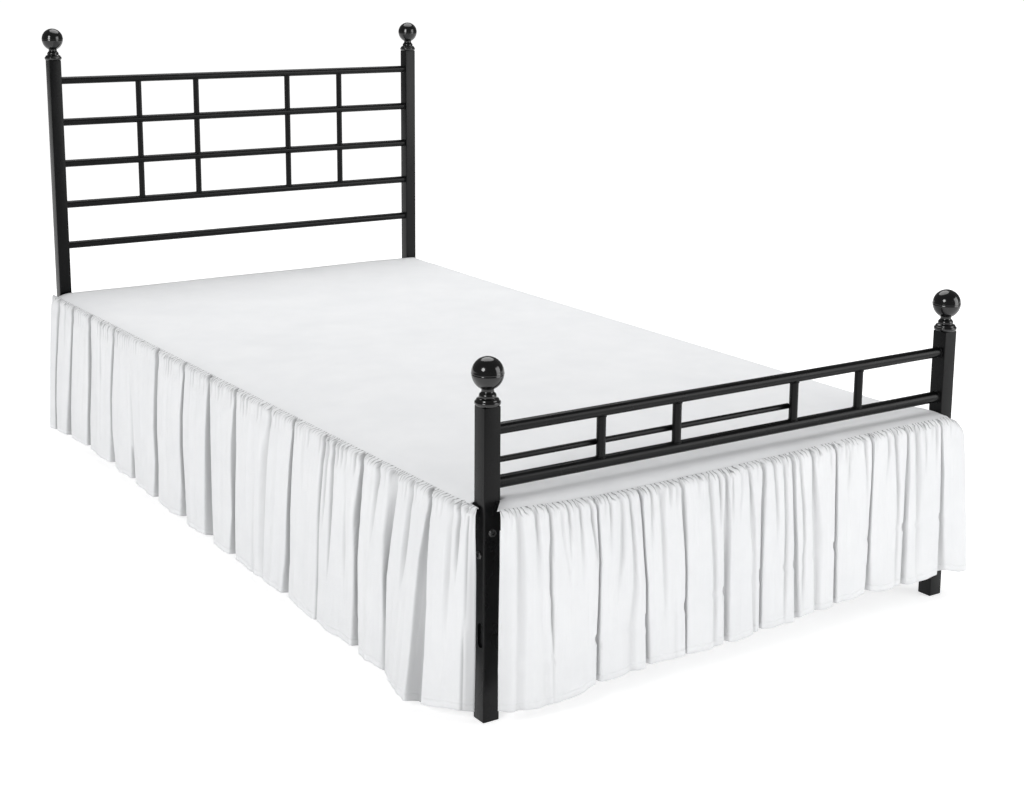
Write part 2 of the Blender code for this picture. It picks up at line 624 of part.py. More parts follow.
def deck_fall(x, y):
    """How far the deck has fallen below its flat part at a place, y from the posts' middle."""
    falls = [0.0]
    left_seam = along(LEFT_LINE, "seam_z", y)
    right_seam = along(RIGHT_LINE, "seam_z", y)
    foot_seam = along(FOOT_LINE, "seam_z", x)
    right_width = along(RIGHT_SHOULDER, "width", y)
    edges = (
        (SEAM_X + x, SIDE_SHOULDER, left_seam, ROUND_FALL),
        (SEAM_X - x, right_width, right_seam, STRAIGHT_FALL),
        (SEAM_FOOT_Y + y, FOOT_SHOULDER, foot_seam, ROUND_FALL),
    )
    for inside, width, seam_z, bend in edges:
        share = min(max(1.0 - inside / width, 0.0), 1.0)
        falls.append((DECK_TOP - seam_z) * share ** bend)
    return max(falls)


def deck_point(x, y):
    """A point of the deck's upper face, with the foot right corner rounded."""
    middle = Vector((SEAM_X - CORNER_R, -SEAM_FOOT_Y + CORNER_R))
    away = Vector((x, y)) - middle
    reach = max(away.x, -away.y)
    if away.x > 0.0 and away.y < 0.0 and reach > ROUNDED_FROM:
        rounded = middle + away.normalized() * reach
        x, y = rounded.x, rounded.y
    if x <= LEFT_NOTCH[0] and y < FLAP_FROM:
        x -= FLAP_REACH * (FLAP_FROM - y) / (FLAP_FROM + SEAM_FOOT_Y)
    if x <= -SEAM_X:
        x += along(LEFT_LINE, "inset", y)
    return Vector((x, BED_MIDDLE_Y + y, DECK_TOP - deck_fall(x, y)))


def deck_keeps(place):
    """False where the deck is cut away for a post or slit."""
    x, y = place.x, place.y - BED_MIDDLE_Y
    (low_x, low_y), (high_x, high_y) = RIGHT_HOLE
    notch = x < LEFT_NOTCH[0] and y < LEFT_NOTCH[1]
    hole = low_x < x < high_x and low_y < y < high_y
    slit = x > high_x and RIGHT_SLIT_Y < y < high_y
    return not (notch or hole or slit)


def add_deck(parts, white):
    (low_x, low_y), (high_x, high_y) = RIGHT_HOLE
    columns = [-SEAM_X + SIDE_SHOULDER * share for share in (0.0, 0.12, 0.35, 0.65, 1.0)]
    columns += [LEFT_NOTCH[0], -0.30, 0.0, 0.30, *RIGHT_CREASES]
    columns += [low_x, SEAM_X - CORNER_R, high_x, SEAM_X - 0.004, SEAM_X]
    rows = [-SEAM_FOOT_Y + FOOT_SHOULDER * share for share in (0.0, 0.12, 0.35)]
    rows += [low_y, -SEAM_FOOT_Y + CORNER_R, RIGHT_SLIT_Y, LEFT_NOTCH[1], high_y, -0.955, -0.92]
    rows += [-0.66, -0.38, -0.10, 0.15, 0.28, 0.44, 0.60, 0.75, 0.86, DECK_HEAD_Y]

    mesh = grid_mesh("deck_panel", sorted(columns), sorted(rows), deck_point, white, deck_keeps)
    face_outwards(mesh, Vector((0.0, 0.0, 1.0)))
    thicken(add_object("deck_panel", mesh, parts))


def add_skirt(parts, white):
    add_deck(parts, white)
    arc_start = SEAM_X - CORNER_R
    arc = CORNER_R * math.pi / 2
    foot_ends = (FOOT_RUFFLE_START, arc_start + arc + FOOT_RUFFLE_PAST)
    bends = [arc_start + arc * step / CORNER_COLUMNS for step in range(CORNER_COLUMNS + 1)]
    left = Vector((-1.0, 0.0, 0.0))
    foot = Vector((0.0, -1.0, 0.0))
    add_ruffle("ruffle_left", LEFT_FOLDS, LEFT_LINE, LEFT_RUFFLE_ENDS, side_path(-1), left, parts, white)
    add_ruffle("ruffle_foot", FOOT_FOLDS, FOOT_LINE, foot_ends, foot_path, foot, parts, white, bends)
    right = -left
    add_ruffle("ruffle_right", RIGHT_FOLDS, RIGHT_LINE, RIGHT_RUFFLE_ENDS, side_path(1), right, parts, white)


def main():
    clear_scene()
    parts = collection(COLLECTION)
    cutters = collection(CUTTERS)
    black = material("black_paint", (0.012, 0.012, 0.013), 0.28, metallic=0.2)
    white = material("white_cloth", (0.86, 0.87, 0.89), 0.85, sheen=0.3)
    posts = add_posts(parts, black)
    cut_hook_slots(posts, cutters)
    add_finials(parts, black)
    add_headboard(parts, cutters, black)
    add_footboard(parts, cutters, black)
    add_rails_and_slats(parts, black)
    add_bolts(parts, black)
    add_skirt(parts, white)
    for cutter in cutters.objects:
        cutter.hide_render = True
        cutter.display_type = "WIRE"


main()
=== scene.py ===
"""A gathered bed skirt dressed on its plain metal twin bed.

Metres, +Z up. X runs across the bed, +Y towards the headboard, and the floor is z = 0.
The skirt is a deck panel with a gathered ruffle sewn to each side and to the foot.
"""
import math
from collections import namedtuple

import bmesh
import bpy
import numpy as np
from mathutils import Matrix, Vector


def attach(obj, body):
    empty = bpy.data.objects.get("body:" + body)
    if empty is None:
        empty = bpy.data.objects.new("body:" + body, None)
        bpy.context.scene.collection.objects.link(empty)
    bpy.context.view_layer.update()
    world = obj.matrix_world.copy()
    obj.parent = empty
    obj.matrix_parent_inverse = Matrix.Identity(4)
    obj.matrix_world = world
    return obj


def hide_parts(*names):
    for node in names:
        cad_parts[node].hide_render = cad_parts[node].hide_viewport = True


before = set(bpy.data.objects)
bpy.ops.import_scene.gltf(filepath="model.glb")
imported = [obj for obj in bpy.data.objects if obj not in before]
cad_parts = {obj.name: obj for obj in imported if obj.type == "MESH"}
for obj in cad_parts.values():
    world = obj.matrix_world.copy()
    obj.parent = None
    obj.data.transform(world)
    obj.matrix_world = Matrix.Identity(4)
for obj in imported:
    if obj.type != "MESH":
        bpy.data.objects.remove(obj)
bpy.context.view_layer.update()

# ---- bed sizes
BED_WIDTH = 1.020  # between the middles of the left and right posts
BED_LENGTH = 1.980  # between the middles of the foot and head posts
BED_MIDDLE_Y = 0.019  # the foot ruffle stands out, so the posts sit this far to the head
POST = 0.030
POST_CORNER = 0.0016  # rounded corners of the square tube
POST_CORNER_STEPS = 5
POST_TOP_EDGE = 0.0012
POST_TOP_STEPS = 3
FOOT_POST_TOP = 0.518
HEAD_POST_TOP = 0.953
FOOT_TOP_BAR_Z = 0.478
FOOT_TOP_BAR_R = 0.0095
FOOT_LOW_BAR_Z = 0.392
FOOT_LOW_BAR_R = 0.0105
HEAD_TOP_BAR_Z = 0.902
HEAD_BAR_PITCH = 0.104
HEAD_BAR_COUNT = 5
HEAD_BAR_R = 0.0092
SPINDLED_HEAD_BARS = 4
SPINDLE_PLACES = (-0.290, -0.132, 0.132, 0.290)
FOOT_SPINDLE_R = 0.0078
HEAD_SPINDLE_R = 0.0075
STOP_BAR_Z = 0.423
STOP_BAR_R = 0.0050
STOP_BAR_END = 2
BAR_SIDES = 40
BAR_END_ROUND = 0.25  # the rounding of a free end, as a share of its radius
BAR_END_STEPS = 3
WELD_R = 0.0014  # a bead of weld round a joint
WELD_SIDES = 10
WELD_STAND = WELD_R / 3  # how far a bead's middle stands off a post's face
WELD_RISE = 0.86  # from a bar's middle to a spindle's bead, as a share of the bar's radius
WELD_HUG = 0.97  # the bead's ring, as a share of the spindle's radius

FACE_BOLT_Z = 0.316
SIDE_BOLT_Z = 0.278
BOLT_R = 0.0072
BOLT_HEIGHT = 0.0028
BOLT_TOP = 0.82  # the head's top, as a share of its foot's radius
BOLT_DOME = 0.42  # the rounding of its rim, as a share of its height
BOLT_DOME_STEPS = 4
BOLT_SIDES = 32
SOCKET_R = 0.0026  # hexagon socket in a bolt head
SOCKET_DEPTH = 0.0016
SLOT_Z = 0.1455
SLOT_HEIGHT = 0.041
SLOT_WIDTH = 0.015
SLOT_DEPTH = 0.003
SLOT_FORWARD = 0.005  # from the post's middle towards the foot
SLOT_ROUND = 0.49  # the rounding of its ends, as a share of its width
SLOT_STEPS = 8

BALL_R = 0.0257
BALL_Z = 0.0520
BALL_LOWER = 1.08  # the ball's lower half is drawn down this much towards the neck
BALL_STEPS = 26
BALL_TURN = 157  # degrees of its outline, from the top down to the neck
FINIAL_SIDES = 56
MERGE = 0.00002  # points of a turned piece closer than this are one
# The seam round the ball, where its upper half laps over: radius and height above its middle.
RIB = ((0.02575, 0.0010), (0.02605, 0.0002), (0.02605, -0.0007), (0.02510, -0.0009), (0.02500, -0.0014))
# The neck's three turned rings below the ball: radius and height above the post's top.
NECK = (
    (0.0101, 0.0258), (0.0099, 0.0241), (0.0100, 0.0224), (0.0112, 0.0209), (0.0127, 0.0194),
    (0.0137, 0.0176), (0.0141, 0.0155), (0.0138, 0.0138), (0.0142, 0.0129), (0.0160, 0.0122),
    (0.0175, 0.0112), (0.0184, 0.0099), (0.0185, 0.0087), (0.0194, 0.0081), (0.0204, 0.0072),
    (0.0208, 0.0057), (0.0208, 0.0042), (0.0204, 0.0028), (0.0196, 0.0016), (0.0188, 0.0004),
)

# ---- skirt sizes
CLOTH = 0.0010  # thickness of the cloth
GAP = 0.0003  # between pieces that meet
DECK_TOP = 0.367
SEAM_X = 0.535
SEAM_FOOT_Y = 1.030
DECK_HEAD_Y = 0.966
DECK_SPACING = 0.016  # between the deck's rows and columns, at most
DECK_EDGE = 0.004
DECK_SWELL = 0.0004  # the flat part's slow swells, which fade towards its seams
DECK_SWELL_FROM = 0.04
DECK_SWELL_OVER = 0.12
DECK_WAVES = ((14.0, 3.0, 0.0), (-4.0, 9.0, 1.0))  # radians per metre along X and Y, and start
SHOULDER = 0.035  # the deck starts to fall this far inside its left and foot seams
SHOULDER_SHARES = (0.0, 0.06, 0.15, 0.28, 0.45, 0.65, 0.82, 1.0)
ROUND_FALL = 2.2
STRAIGHT_FALL = 1.15
LEFT_NOTCH = (-0.4955, -0.9755)
RIGHT_CREASES = (0.449, 0.475, 0.513)
FLAP_FROM = -1.0055  # past the left post, the deck's foot edge reaches out to its corner
FLAP_REACH = 0.022
RIGHT_HOLE = ((0.493, -1.007), (0.527, -0.967))
RIGHT_SLIT_Y = -0.973
CORNER_R = 0.030
ROUNDED_FROM = 0.023
CORNER_SLACK = 0.0004
FOOT_RUFFLE_START = -0.514
LEFT_RUFFLE_ENDS = (0.998, -0.993)
FOOT_RUFFLE_PAST = 0.026
RIGHT_RUFFLE_ENDS = (-0.966, 0.998)
SIDE_FOLD_SHADE = 0.35  # the grey of the painted shade deep in a ruffle's folds, at the sides and at the foot
FOOT_FOLD_SHADE = 0.62
THREAD = math.tau / 0.00062  # one wave of the weave, in radians per metre
TUCKS = math.pi / 0.0100  # the tucks at the gathering stitches, in radians per metre
TUCK_LEAN = 150.0

# Along each seam, in millimetres: its height, the hem's height, how far the cloth stands out
# below the seam, how much further out the hem hangs, how soon it gets there (in thousandths,
# more is later) and how far the seam turns in.
Edge = namedtuple("Edge", "at seam_z hem_z lead flare bow inset", defaults=(1000, 0))
LEFT_LINE = [Edge(*row) for row in (
    (1000, 359, 15, 4, 22, 550),
    (940, 359, 20, 9, 13, 800),
    (860, 359, 21, 11, 1),
    (750, 359, 21, 11, -6),
    (440, 359, 20, 12, -3),
    (280, 359, 20, 12, 6),
    (0, 359, 19, 12, 11),
    (-380, 359, 18, 13, 16),
    (-660, 359, 17, 14, 22),
    (-790, 359, 16, 14, 25),
    (-895, 359, 16, 15, 52, 1100),
    (-920, 359, 17, 15, 32),
    (-955, 358, 18, 14, 18, 1000, 2),
    (-972, 357, 18, 12, 10, 1000, 6),
    (-990, 356, 19, 8, 4, 1000, 6),
)]
FOOT_LINE = [Edge(*row) for row in (
    (-515, 360, 29, 8, 0),
    (-410, 354, 25, 12, 1),
    (-330, 351, 38, 12, 1),
    (-230, 351, 45, 12, 1),
    (-60, 353, 45, 12, 1),
    (20, 355, 51, 12, 1),
    (110, 357, 53, 12, 1),
    (200, 360, 61, 12, 1),
    (280, 362, 68, 12, 1),
    (370, 363, 62, 12, 2),
    (480, 363, 68, 11, 4),
    (505, 353, 64, 10, 7, 800),
    (530, 332, 60, 13, 12, 600),
    (590, 322, 56, 15, 12, 600),
)]
RIGHT_LINE = [Edge(*row) for row in (
    (-966, 327, 52, 6, 18, 600),
    (-880, 337, 47, 9, 24, 800),
    (-700, 338, 40, 11, 30),
    (-300, 342, 30, 12, 32),
    (150, 345, 24, 12, 54),
    (600, 348, 24, 12, 28),
    (1000, 350, 22, 6, 22, 700),
)]

# How far inside the right seam the deck starts to fall, by place along it, in millimetres.
Shoulder = namedtuple("Shoulder", "at width")
RIGHT_SHOULDER = [Shoulder(*row) for row in (
    (966, 24), (420, 48), (-60, 60), (-880, 82), (-960, 52), (-1030, 50),
)]

# One row for each fold, in millimetres at FOLD_LEVELS down the cloth: the place of its
# valley along the seam, half the width of its opening, and how deep it is. A short column
# keeps its last number to the hem. Crisp is how steep the sides are, where depth doesn't say.
FOLD_LEVELS = (0.05, 0.30, 0.50, 0.75, 1.00)
Fold = namedtuple("Fold", "place half deep crisp", defaults=(None,))
LEFT_FOLDS = [Fold(*row) for row in (
    ((933, 941, 948, 950, 947), (13, 11, 8, 7, 10), (8, 10, 12, 13, 14)),
    ((885,), (8,), (4, 2, 0)),
    ((826, 843, 854, 864, 868), (8, 8, 8, 11, 16), (9, 12, 16, 22, 19)),
    ((704, 713, 723, 740, 750), (10, 11, 10, 10, 12), (14, 16, 17)),
    ((630, 635, 640), (9,), (2, 4, 1, 0)),
    ((543, 562, 576, 582, 580), (9, 8, 7, 9, 22), (12, 9, 6, 8, 20)),
    ((450, 446, 444, 442, 437), (8, 8, 8, 8, 17), (0, 0, 0, 0, 20)),
    ((277, 286, 288, 279, 283), (10, 12, 13, 12, 17), (10, 12, 18, 17, 18)),
    ((127, 138, 137, 125, 121), (7, 8, 8, 9, 18), (12, 12, 13, 18, 20)),
    ((-4, -3, -6, -12, -23), (8, 12, 15, 19, 27), (12, 19, 20, 21)),
    ((-133, -132, -134, -138, -140), (6, 15, 12, 8, 16), (10, 11, 14, 18, 15)),
    ((-222, -228, -232, -236, -240), (10, 10, 10, 10, 12), (0, 2, 3, 4, 6)),
    ((-290, -273, -272, -275, -285), (8, 20, 22, 20), (6, 6, 6, 5, 4)),
    ((-391, -386, -384, -387, -381), (6, 8, 9, 11, 16), (12, 13, 17, 17, 14)),
    ((-432, -436, -442, -450), (10, 12, 14), (2, 3, 3, 1, 0)),
    ((-515, -511, -513, -520, -524), (6, 5, 4), (8, 9, 6, 6, 5), 3.0),
    ((-529, -529, -527), (6, 6, 5), (5, 4, 1, 0)),
    ((-553, -556, -558, -560), (6, 6, 5), (8, 8, 5, 1, 0)),
    ((-600, -603, -610, -620, -622), (8, 8, 9, 10), (2, 3, 4, 2, 0)),
    ((-656, -651, -655, -665, -673), (8, 13, 8, 10, 17), (9, 18, 17)),
    ((-714, -706, -700), (7, 10, 10, 8), (6, 4, 1, 0)),
    ((-766, -757, -758, -768, -775), (15, 12, 6, 4, 5), (6, 14, 16, 3, 0), 3.0),
    ((-825, -821, -820), (8, 10, 9), (5, 7, 3, 0)),
    ((-884, -886, -893, -902, -908), (6, 14, 17, 14, 11), (10, 11, 10, 9, 7)),
    ((-946, -948, -950), (9,), (4, 5, 3, 1, 0)),
    ((-963,), (4,), (7, 2, 0)),
    ((-980,), (2,), (4,), 3.0),
    ((-996,), (17, 16), (3, 6, 7, 8), 4.0),
)]
FOOT_FOLDS = [Fold(*row) for row in (
    ((-518,), (22,), (4, 7, 9, 10), 2.2),
    ((-481, -480, -479, -480, -482), (8, 10, 11, 11, 10), (8, 8, 8, 7, 6), 2.4),
    ((-449, -443, -441, -436, -432), (5, 9, 10, 11, 12), (6, 5, 5, 4, 3)),
    ((-423, -424, -422, -420), (4, 4, 3), (7, 9, 8, 3), 6.0),
    ((-404, -390, -384, -382), (4, 5, 6), (2, 3, 1, 0)),
    ((-388, -387), (3, 4), (5, 1, 0)),
    ((-366, -359, -356), (3, 5, 6), (6, 2, 0)),
    ((-344, -331, -328), (3,), (7, 3, 0)),
    ((-332, -326, -328, -329), (3, 3, 3, 4, 5), (8, 10, 13, 12, 11)),
    ((-307, -306), (3, 4), (5, 1, 0)),
    ((-283, -284, -292, -295), (5, 7, 8), (6, 6, 4, 2, 1)),
    ((-266, -258, -255, -262), (3, 6, 8, 10, 13), (7, 8, 8, 7)),
    ((-243, -237, -231, -229, -226), (3, 3, 3, 4, 5), (11, 14, 14, 12)),
    ((-222, -221), (3, 4), (6, 1, 0)),
    ((-203, -197, -194, -192), (6, 7, 6, 5), (7, 7, 5, 2, 0)),
    ((-170, -170, -170, -170, -168), (7,), (1, 0, 1, 3)),
    ((-156, -150, -147, -146, -144), (5, 4, 3, 3, 2), (8, 11, 14, 15, 13)),
    ((-130, -129), (5, 6), (2, 1, 0)),
    ((-98, -90, -86, -85), (5, 7, 6), (7, 8, 7, 6, 4)),
    ((-76, -74), (3, 4), (6, 1, 0)),
    ((-62, -60, -59, -58, -56), (5, 10, 8, 7), (7, 8, 10), 6.0),
    ((-48, -47), (3, 4), (5, 1, 0)),
    ((-28, -32), (4, 6), (4, 1, 0)),
    ((-10, -3, 1, 2, 5), (4, 8, 6, 6, 3), (8, 7, 5, 4), 4.0),
    ((22, 21, 21, 21, 22), (6, 5, 4), (7, 9, 11), 6.0),
    ((48, 55, 57), (4, 5), (7, 4, 0)),
    ((69, 75, 76), (4, 5, 4), (7, 7, 7, 6, 2)),
    ((90, 95, 100, 103, 108), (5, 5, 6, 7, 9), (7, 8, 10, 9, 8), 6.0),
    ((107, 117, 121), (4, 4, 3, 4), (6, 7, 6, 5, 0)),
    ((138, 145, 150, 153, 155), (4, 10, 12, 10, 9), (10, 9, 8, 6, 4), 2.6),
    ((179,), (3, 4), (3, 0)),
    ((192, 194, 196, 198, 200), (3, 4, 4, 4, 5), (12, 12, 13)),
    ((224, 221), (3, 4), (6, 1, 0)),
    ((264, 270, 272), (4, 5), (5, 3, 1, 0)),
    ((282, 282, 281), (3, 3, 4, 4, 9), (8, 11, 13, 13, 10)),
    ((322, 316), (4, 6), (5, 2, 0)),
    ((341, 348, 350, 348), (5, 6, 5), (8, 9, 5, 4, 2)),
    ((371, 372, 371, 371, 370), (4, 7, 6, 7), (7, 8, 10, 9, 8), 6.0),
    ((395, 401, 401, 402, 403), (6, 9, 6, 7), (8, 9, 6, 5, 2)),
    ((418, 417), (3, 4), (5, 1, 0)),
    ((446,), (4, 5), (4, 2, 0)),
    ((460, 465, 466, 468, 470), (3, 6, 6, 8, 12), (12, 10, 9, 9, 7)),
    ((537, 540, 541, 543, 545), (12,), (4, 7, 8, 10, 11), 2.0),
)]
RIGHT_FOLDS = [Fold(*row) for row in (
    ((-928, -926, -924, -922, -920), (9, 10, 10, 10, 11), (8, 10, 11, 12)),
    ((-815, -819, -822, -826, -830), (7, 9, 9, 10, 13), (11, 14, 15, 16, 17)),
    ((-740, -744, -746), (8, 9), (6, 4, 2, 0)),
    ((-660, -654, -650, -648, -646), (8, 10, 10, 12, 14), (12, 15, 16, 17, 18)),
    ((-540, -544, -548, -554, -560), (10, 14, 15, 15, 16), (6, 8, 9, 9, 10)),
    ((-398, -394, -390, -388, -386), (7, 9, 8, 10, 13), (12, 16, 17, 18, 19)),
    ((-330, -334, -336), (8, 9), (5, 5, 2, 0)),
    ((-270, -266, -262, -258, -255), (8, 10, 10, 11, 14), (11, 14, 15, 15, 16)),
    ((-118, -122, -126, -128, -130), (12, 13), (6, 9, 10, 12, 13)),
    ((20, 22, 26, 30, 34), (7, 9, 9, 10, 14), (13, 16, 17, 18, 19)),
    ((96, 92, 90), (8, 9), (6, 4, 1, 0)),
    ((170, 167, 164, 162, 160), (8, 10, 10, 11, 13), (11, 13, 14, 15, 16)),
    ((300, 305, 310, 312, 315), (7, 9, 9, 10, 13), (12, 15, 16, 17, 18)),
    ((462, 458, 455, 452, 450), (12, 14), (5, 8, 9, 11, 12)),
    ((590, 594, 598, 602, 605), (7, 9, 9, 10, 14), (13, 16, 17, 18, 19)),
    ((664, 668, 670), (8, 9), (5, 5, 2, 0)),
    ((742, 738, 735, 732, 730), (8, 10, 10, 11, 13), (11, 14, 15, 16, 17)),
    ((880, 883, 886, 888, 890), (9, 10, 10, 10, 11), (9, 11, 12, 13, 14)),
)]

LIP = 0.84  # where a valley's steep side lies, as a share of its half width
LIP_WIDTH = 0.30
COLUMN_SPACING = 0.0030  # between a ruffle's columns, away from its valleys
LIP_COLUMNS = 8.0  # more across half a valley, at its lips and in its middle
LIP_LEAST = 0.0006
VALLEY_COLUMNS = 2.0
VALLEY_LEAST = 0.0015
RULER_MARKS = 8000
NEIGHBOURS = 47  # how many columns to each side can close a point in
NEIGHBOUR_LEAST = 0.0004
SHALLOW = 9  # a fold no deeper than this, in millimetres, has soft sides
SOFT_SIDES = 2.0
STEEP_SIDES = 6.0
LOBE_SHARE = 0.10  # how far a lobe swells out, as a share of its width
LOBE_MOST = 0.010
LOBE_AT_TOP = 0.25
LOBE_LEVEL = 0.10  # it swells in over this share of the drop
VALLEY_START = 0.25  # the valleys open within a few millimetres of the seam
VALLEY_FADE = 0.006
# The turn of the cloth where it meets the seam: how far out and how far down.
SEAM_TURN = ((-0.0010, 0.0004), (-0.0002, -0.0014), (0.0012, -0.0017))
SHOULDER_DROP = 0.0170  # the cloth comes over its shoulder within this height
SHOULDER_STEPS = 8
SHOULDER_OUT = 0.9  # how soon it goes out, and down (less is sooner)
SHOULDER_DOWN = 1.3
DROP_STEPS = 32
DROP_EASE = 1.2  # the rows lie closer together near the seam
HEM_HEIGHT = 0.0130  # the stitched turn-up along the bottom
HEM_WAVES = ((0.0012, 57.0, 0.0), (0.0010, 91.0, 1.0))  # height, radians per metre, and start
SEAM_PULL = 0.024  # the gathering stitches lean the folds sideways this far below the seam
SEAM_LEAN = 0.0065
# The foot ruffle's roll below its seam grows round the right corner: place, and height.
CORNER_ROLL = ((0.480, 0.017), (0.520, 0.030), (0.560, 0.060))
FOOT_DEPTH = 0.80  # the share of their rows' depth that the foot ruffle's folds keep
CREASE_HALF = 0.0060  # half the height of the band that the pressed crease disturbs
CREASE_JOG = 0.0014  # it sets the folds over by this, and back by the next a little lower
CREASE_BACK = 0.0008
CREASE_BELOW = 1.8  # how much lower, in halves of the band
CREASE_OPENS = 0.3  # it opens them by this share
CREASE_IN = 0.0006
# The pressed crease across the foot ruffle: places along the seam, and its height there.
CREASE = ((-0.520, 0.100), (-0.230, 0.124), (0.190, 0.170), (0.560, 0.181))

# Fine gathers under the seam, and slow swells over the whole drop. Their waves are uneven
# and wander: by how much, and in how many radians per metre.
UNEVEN, UNEVEN_ALONG = 0.35, 31.0
WANDER, WANDER_ALONG = 0.9, 17.0
GATHER_START = 0.2  # the gathers start within a few millimetres of the seam
GATHER_FADE = 0.005
GATHER_GONE = 0.92  # and lose this share further down
GATHER_GONE_FROM = 0.008
GATHER_GONE_OVER = 0.055
SWELL_LEVEL = 0.25  # the swells are whole from this share of the drop
Wave = namedtuple("Wave", "length deep turn lean")
GATHERS = (
    Wave(0.0123, 0.0008, 0.4, 1.9),
    Wave(0.0151, 0.0010, 2.1, -1.3),
    Wave(0.0197, 0.0009, 4.0, 2.6),
)
SWELLS = (
    Wave(0.0290, 0.00050, 1.2, 2.2),
    Wave(0.0470, 0.00080, 3.3, -1.6),
    Wave(0.0810, 0.00100, 0.2, 1.1),
)

FOOT_Y = BED_MIDDLE_Y - BED_LENGTH / 2
HEAD_Y = BED_MIDDLE_Y + BED_LENGTH / 2
POST_X = BED_WIDTH / 2
POST_PLACES = [
    (f"{end}_post_{side}", x, y, top)
    for end, y, top in (("foot", FOOT_Y, FOOT_POST_TOP), ("head", HEAD_Y, HEAD_POST_TOP))
    for side, x in (("left", -POST_X), ("right", POST_X))
]


# ---- shader expressions
class Socket:
    """A shader value that Python's own operators can work with."""

    def __init__(self, recipe, out):
        self.recipe = recipe
        self.out = out

    def sum_with(self, operation, *others):
        return self.recipe.node("Math", {"operation": operation}, (self, *others))

    def __add__(self, other):
        return self.sum_with("ADD", other)

    def __sub__(self, other):
        return self.sum_with("SUBTRACT", other)

    def __rsub__(self, other):
        return self.recipe.node("Math", {"operation": "SUBTRACT"}, (other, self))

    def __mul__(self, other):
        return self.sum_with("MULTIPLY", other)

    __radd__ = __add__
    __rmul__ = __mul__

    def __abs__(self):
        return self.sum_with("ABSOLUTE")

    def wave(self):
        return self.sum_with("SINE")


class Recipe:
    """The nodes of one material."""

    def __init__(self, name, roughness, **fixed):
        self.material = bpy.data.materials.new(name)
        self.material.use_nodes = True
        self.tree = self.material.node_tree
        self.shader = self.tree.nodes["Principled BSDF"]
        self.shader.inputs["Roughness"].default_value = roughness
        for socket, value in fixed.items():
            self.shader.inputs[socket.replace("_", " ")].default_value = value

    def node(self, kind, settings=None, inputs=(), output=0):
        """A node of a kind: its settings first, then the values or links of its sockets."""
        made = self.tree.nodes.new("ShaderNode" + kind)
        for key, value in (settings or {}).items():
            if key == "stops":
                self.set_stops(made.color_ramp, value)
            else:
                setattr(made, key, value)
        pairs = inputs.items() if isinstance(inputs, dict) else enumerate(inputs)
        for key, value in pairs:
            self.feed(made.inputs[key], value)
        return Socket(self, made.outputs[output])

    def feed(self, target, value):
        if isinstance(value, Socket):
            self.tree.links.new(value.out, target)
        else:
            target.default_value = value

    @staticmethod
    def set_stops(ramp, stops):
        while len(ramp.elements) < len(stops):
            ramp.elements.new(1.0)
        for element, (place, shade) in zip(ramp.elements, stops):
            element.position = place
            element.color = (shade, shade, shade, 1.0)

    def place(self):
        return self.node("TexCoord", output="Object")

    def measure(self, name):
        """A number that the mesh keeps at each of its points."""
        return self.node("Attribute", {"attribute_name": name}, output="Fac")

    def parts(self, vector):
        """The first two parts of a vector."""
        return [self.node("SeparateXYZ", None, (vector,), axis) for axis in range(2)]

    def stretch(self, vector, scale):
        return self.node("Mapping", None, {"Vector": vector, "Scale": scale})

    def noise(self, vector, scale, detail=2.0, roughness=0.5):
        sockets = {"Vector": vector, "Scale": scale, "Detail": detail, "Roughness": roughness}
        return self.node("TexNoise", None, sockets)

    def drawn_noise(self, lie, across, down):
        """Noise with a scale of its own across the cloth and down it."""
        return self.noise(self.stretch(lie, (across, down, 1.0)), 1.0)

    def ramp(self, value, stops):
        return self.node("ValToRGB", {"stops": stops}, (value,))

    def blend(self, share, first, second):
        """One colour turning into another."""
        settings = {"data_type": "RGBA", "blend_type": "MIX"}
        return self.node("Mix", settings, {0: share, 6: first, 7: second}, output=2)

    def bump(self, height, strength, distance):
        sockets = {"Strength": strength, "Distance": distance, "Height": height}
        return self.node("Bump", None, sockets)

    def finish(self, colour, roughness=None, normal=None):
        """The material, with what varies over it fed to its shader."""
        for name, value in (("Base Color", colour), ("Roughness", roughness), ("Normal", normal)):
            if value is not None:
                self.feed(self.shader.inputs[name], value)
        return self.material


def grey(shade, blue=0.0):
    return (shade, shade + blue * 0.4, shade + blue, 1.0)


# ---- finishes
def black_powder_coat():
    """Satin black powder coat: faint orange peel, a little dust and rubbed patches."""
    coat = Recipe("black_powder_coat", 0.3, Specular_IOR_Level=0.18)
    place = coat.place()
    peel = coat.noise(place, 620.0, 2.0)
    flow = coat.noise(place, 38.0, 3.0)
    rubbed = coat.noise(coat.stretch(place, (1.0, 1.0, 0.4)), 9.0, 4.0, 0.6)
    worn = coat.ramp(rubbed, ((0.42, 0.0), (0.70, 1.0)))
    colour = coat.blend(worn, grey(0.0020, 0.0003), grey(0.0048, 0.0006))
    roughness = 0.23 + worn * 0.09 + flow * 0.05
    normal = coat.bump(peel * 0.5 + flow, 0.10, 0.0012)
    return coat.finish(colour, roughness, normal)


def gloss_black():
    """The finials' thick gloss black, with slight sags in the paint."""
    gloss = Recipe("gloss_black", 0.1, Specular_IOR_Level=0.58)
    place = gloss.place()
    sags = gloss.noise(place, 70.0, 2.0)
    specks = gloss.noise(place, 900.0, 1.0)
    colour = gloss.blend(sags, grey(0.0018), grey(0.0035, 0.0004))
    roughness = 0.10 + sags * 0.06
    normal = gloss.bump(sags + specks * 0.06, 0.05, 0.0010)
    return gloss.finish(colour, roughness, normal)


def bright_bolt():
    """Blackened steel bolts, unevenly rubbed."""
    steel = Recipe("blackened_steel", 0.2, Metallic=0.8)
    place = steel.place()
    grain = steel.noise(place, 420.0, 3.0)
    colour = steel.blend(grain, grey(0.008), grey(0.120))
    return steel.finish(colour, 0.10 + grain * 0.14, steel.bump(grain, 0.20, 0.0005))


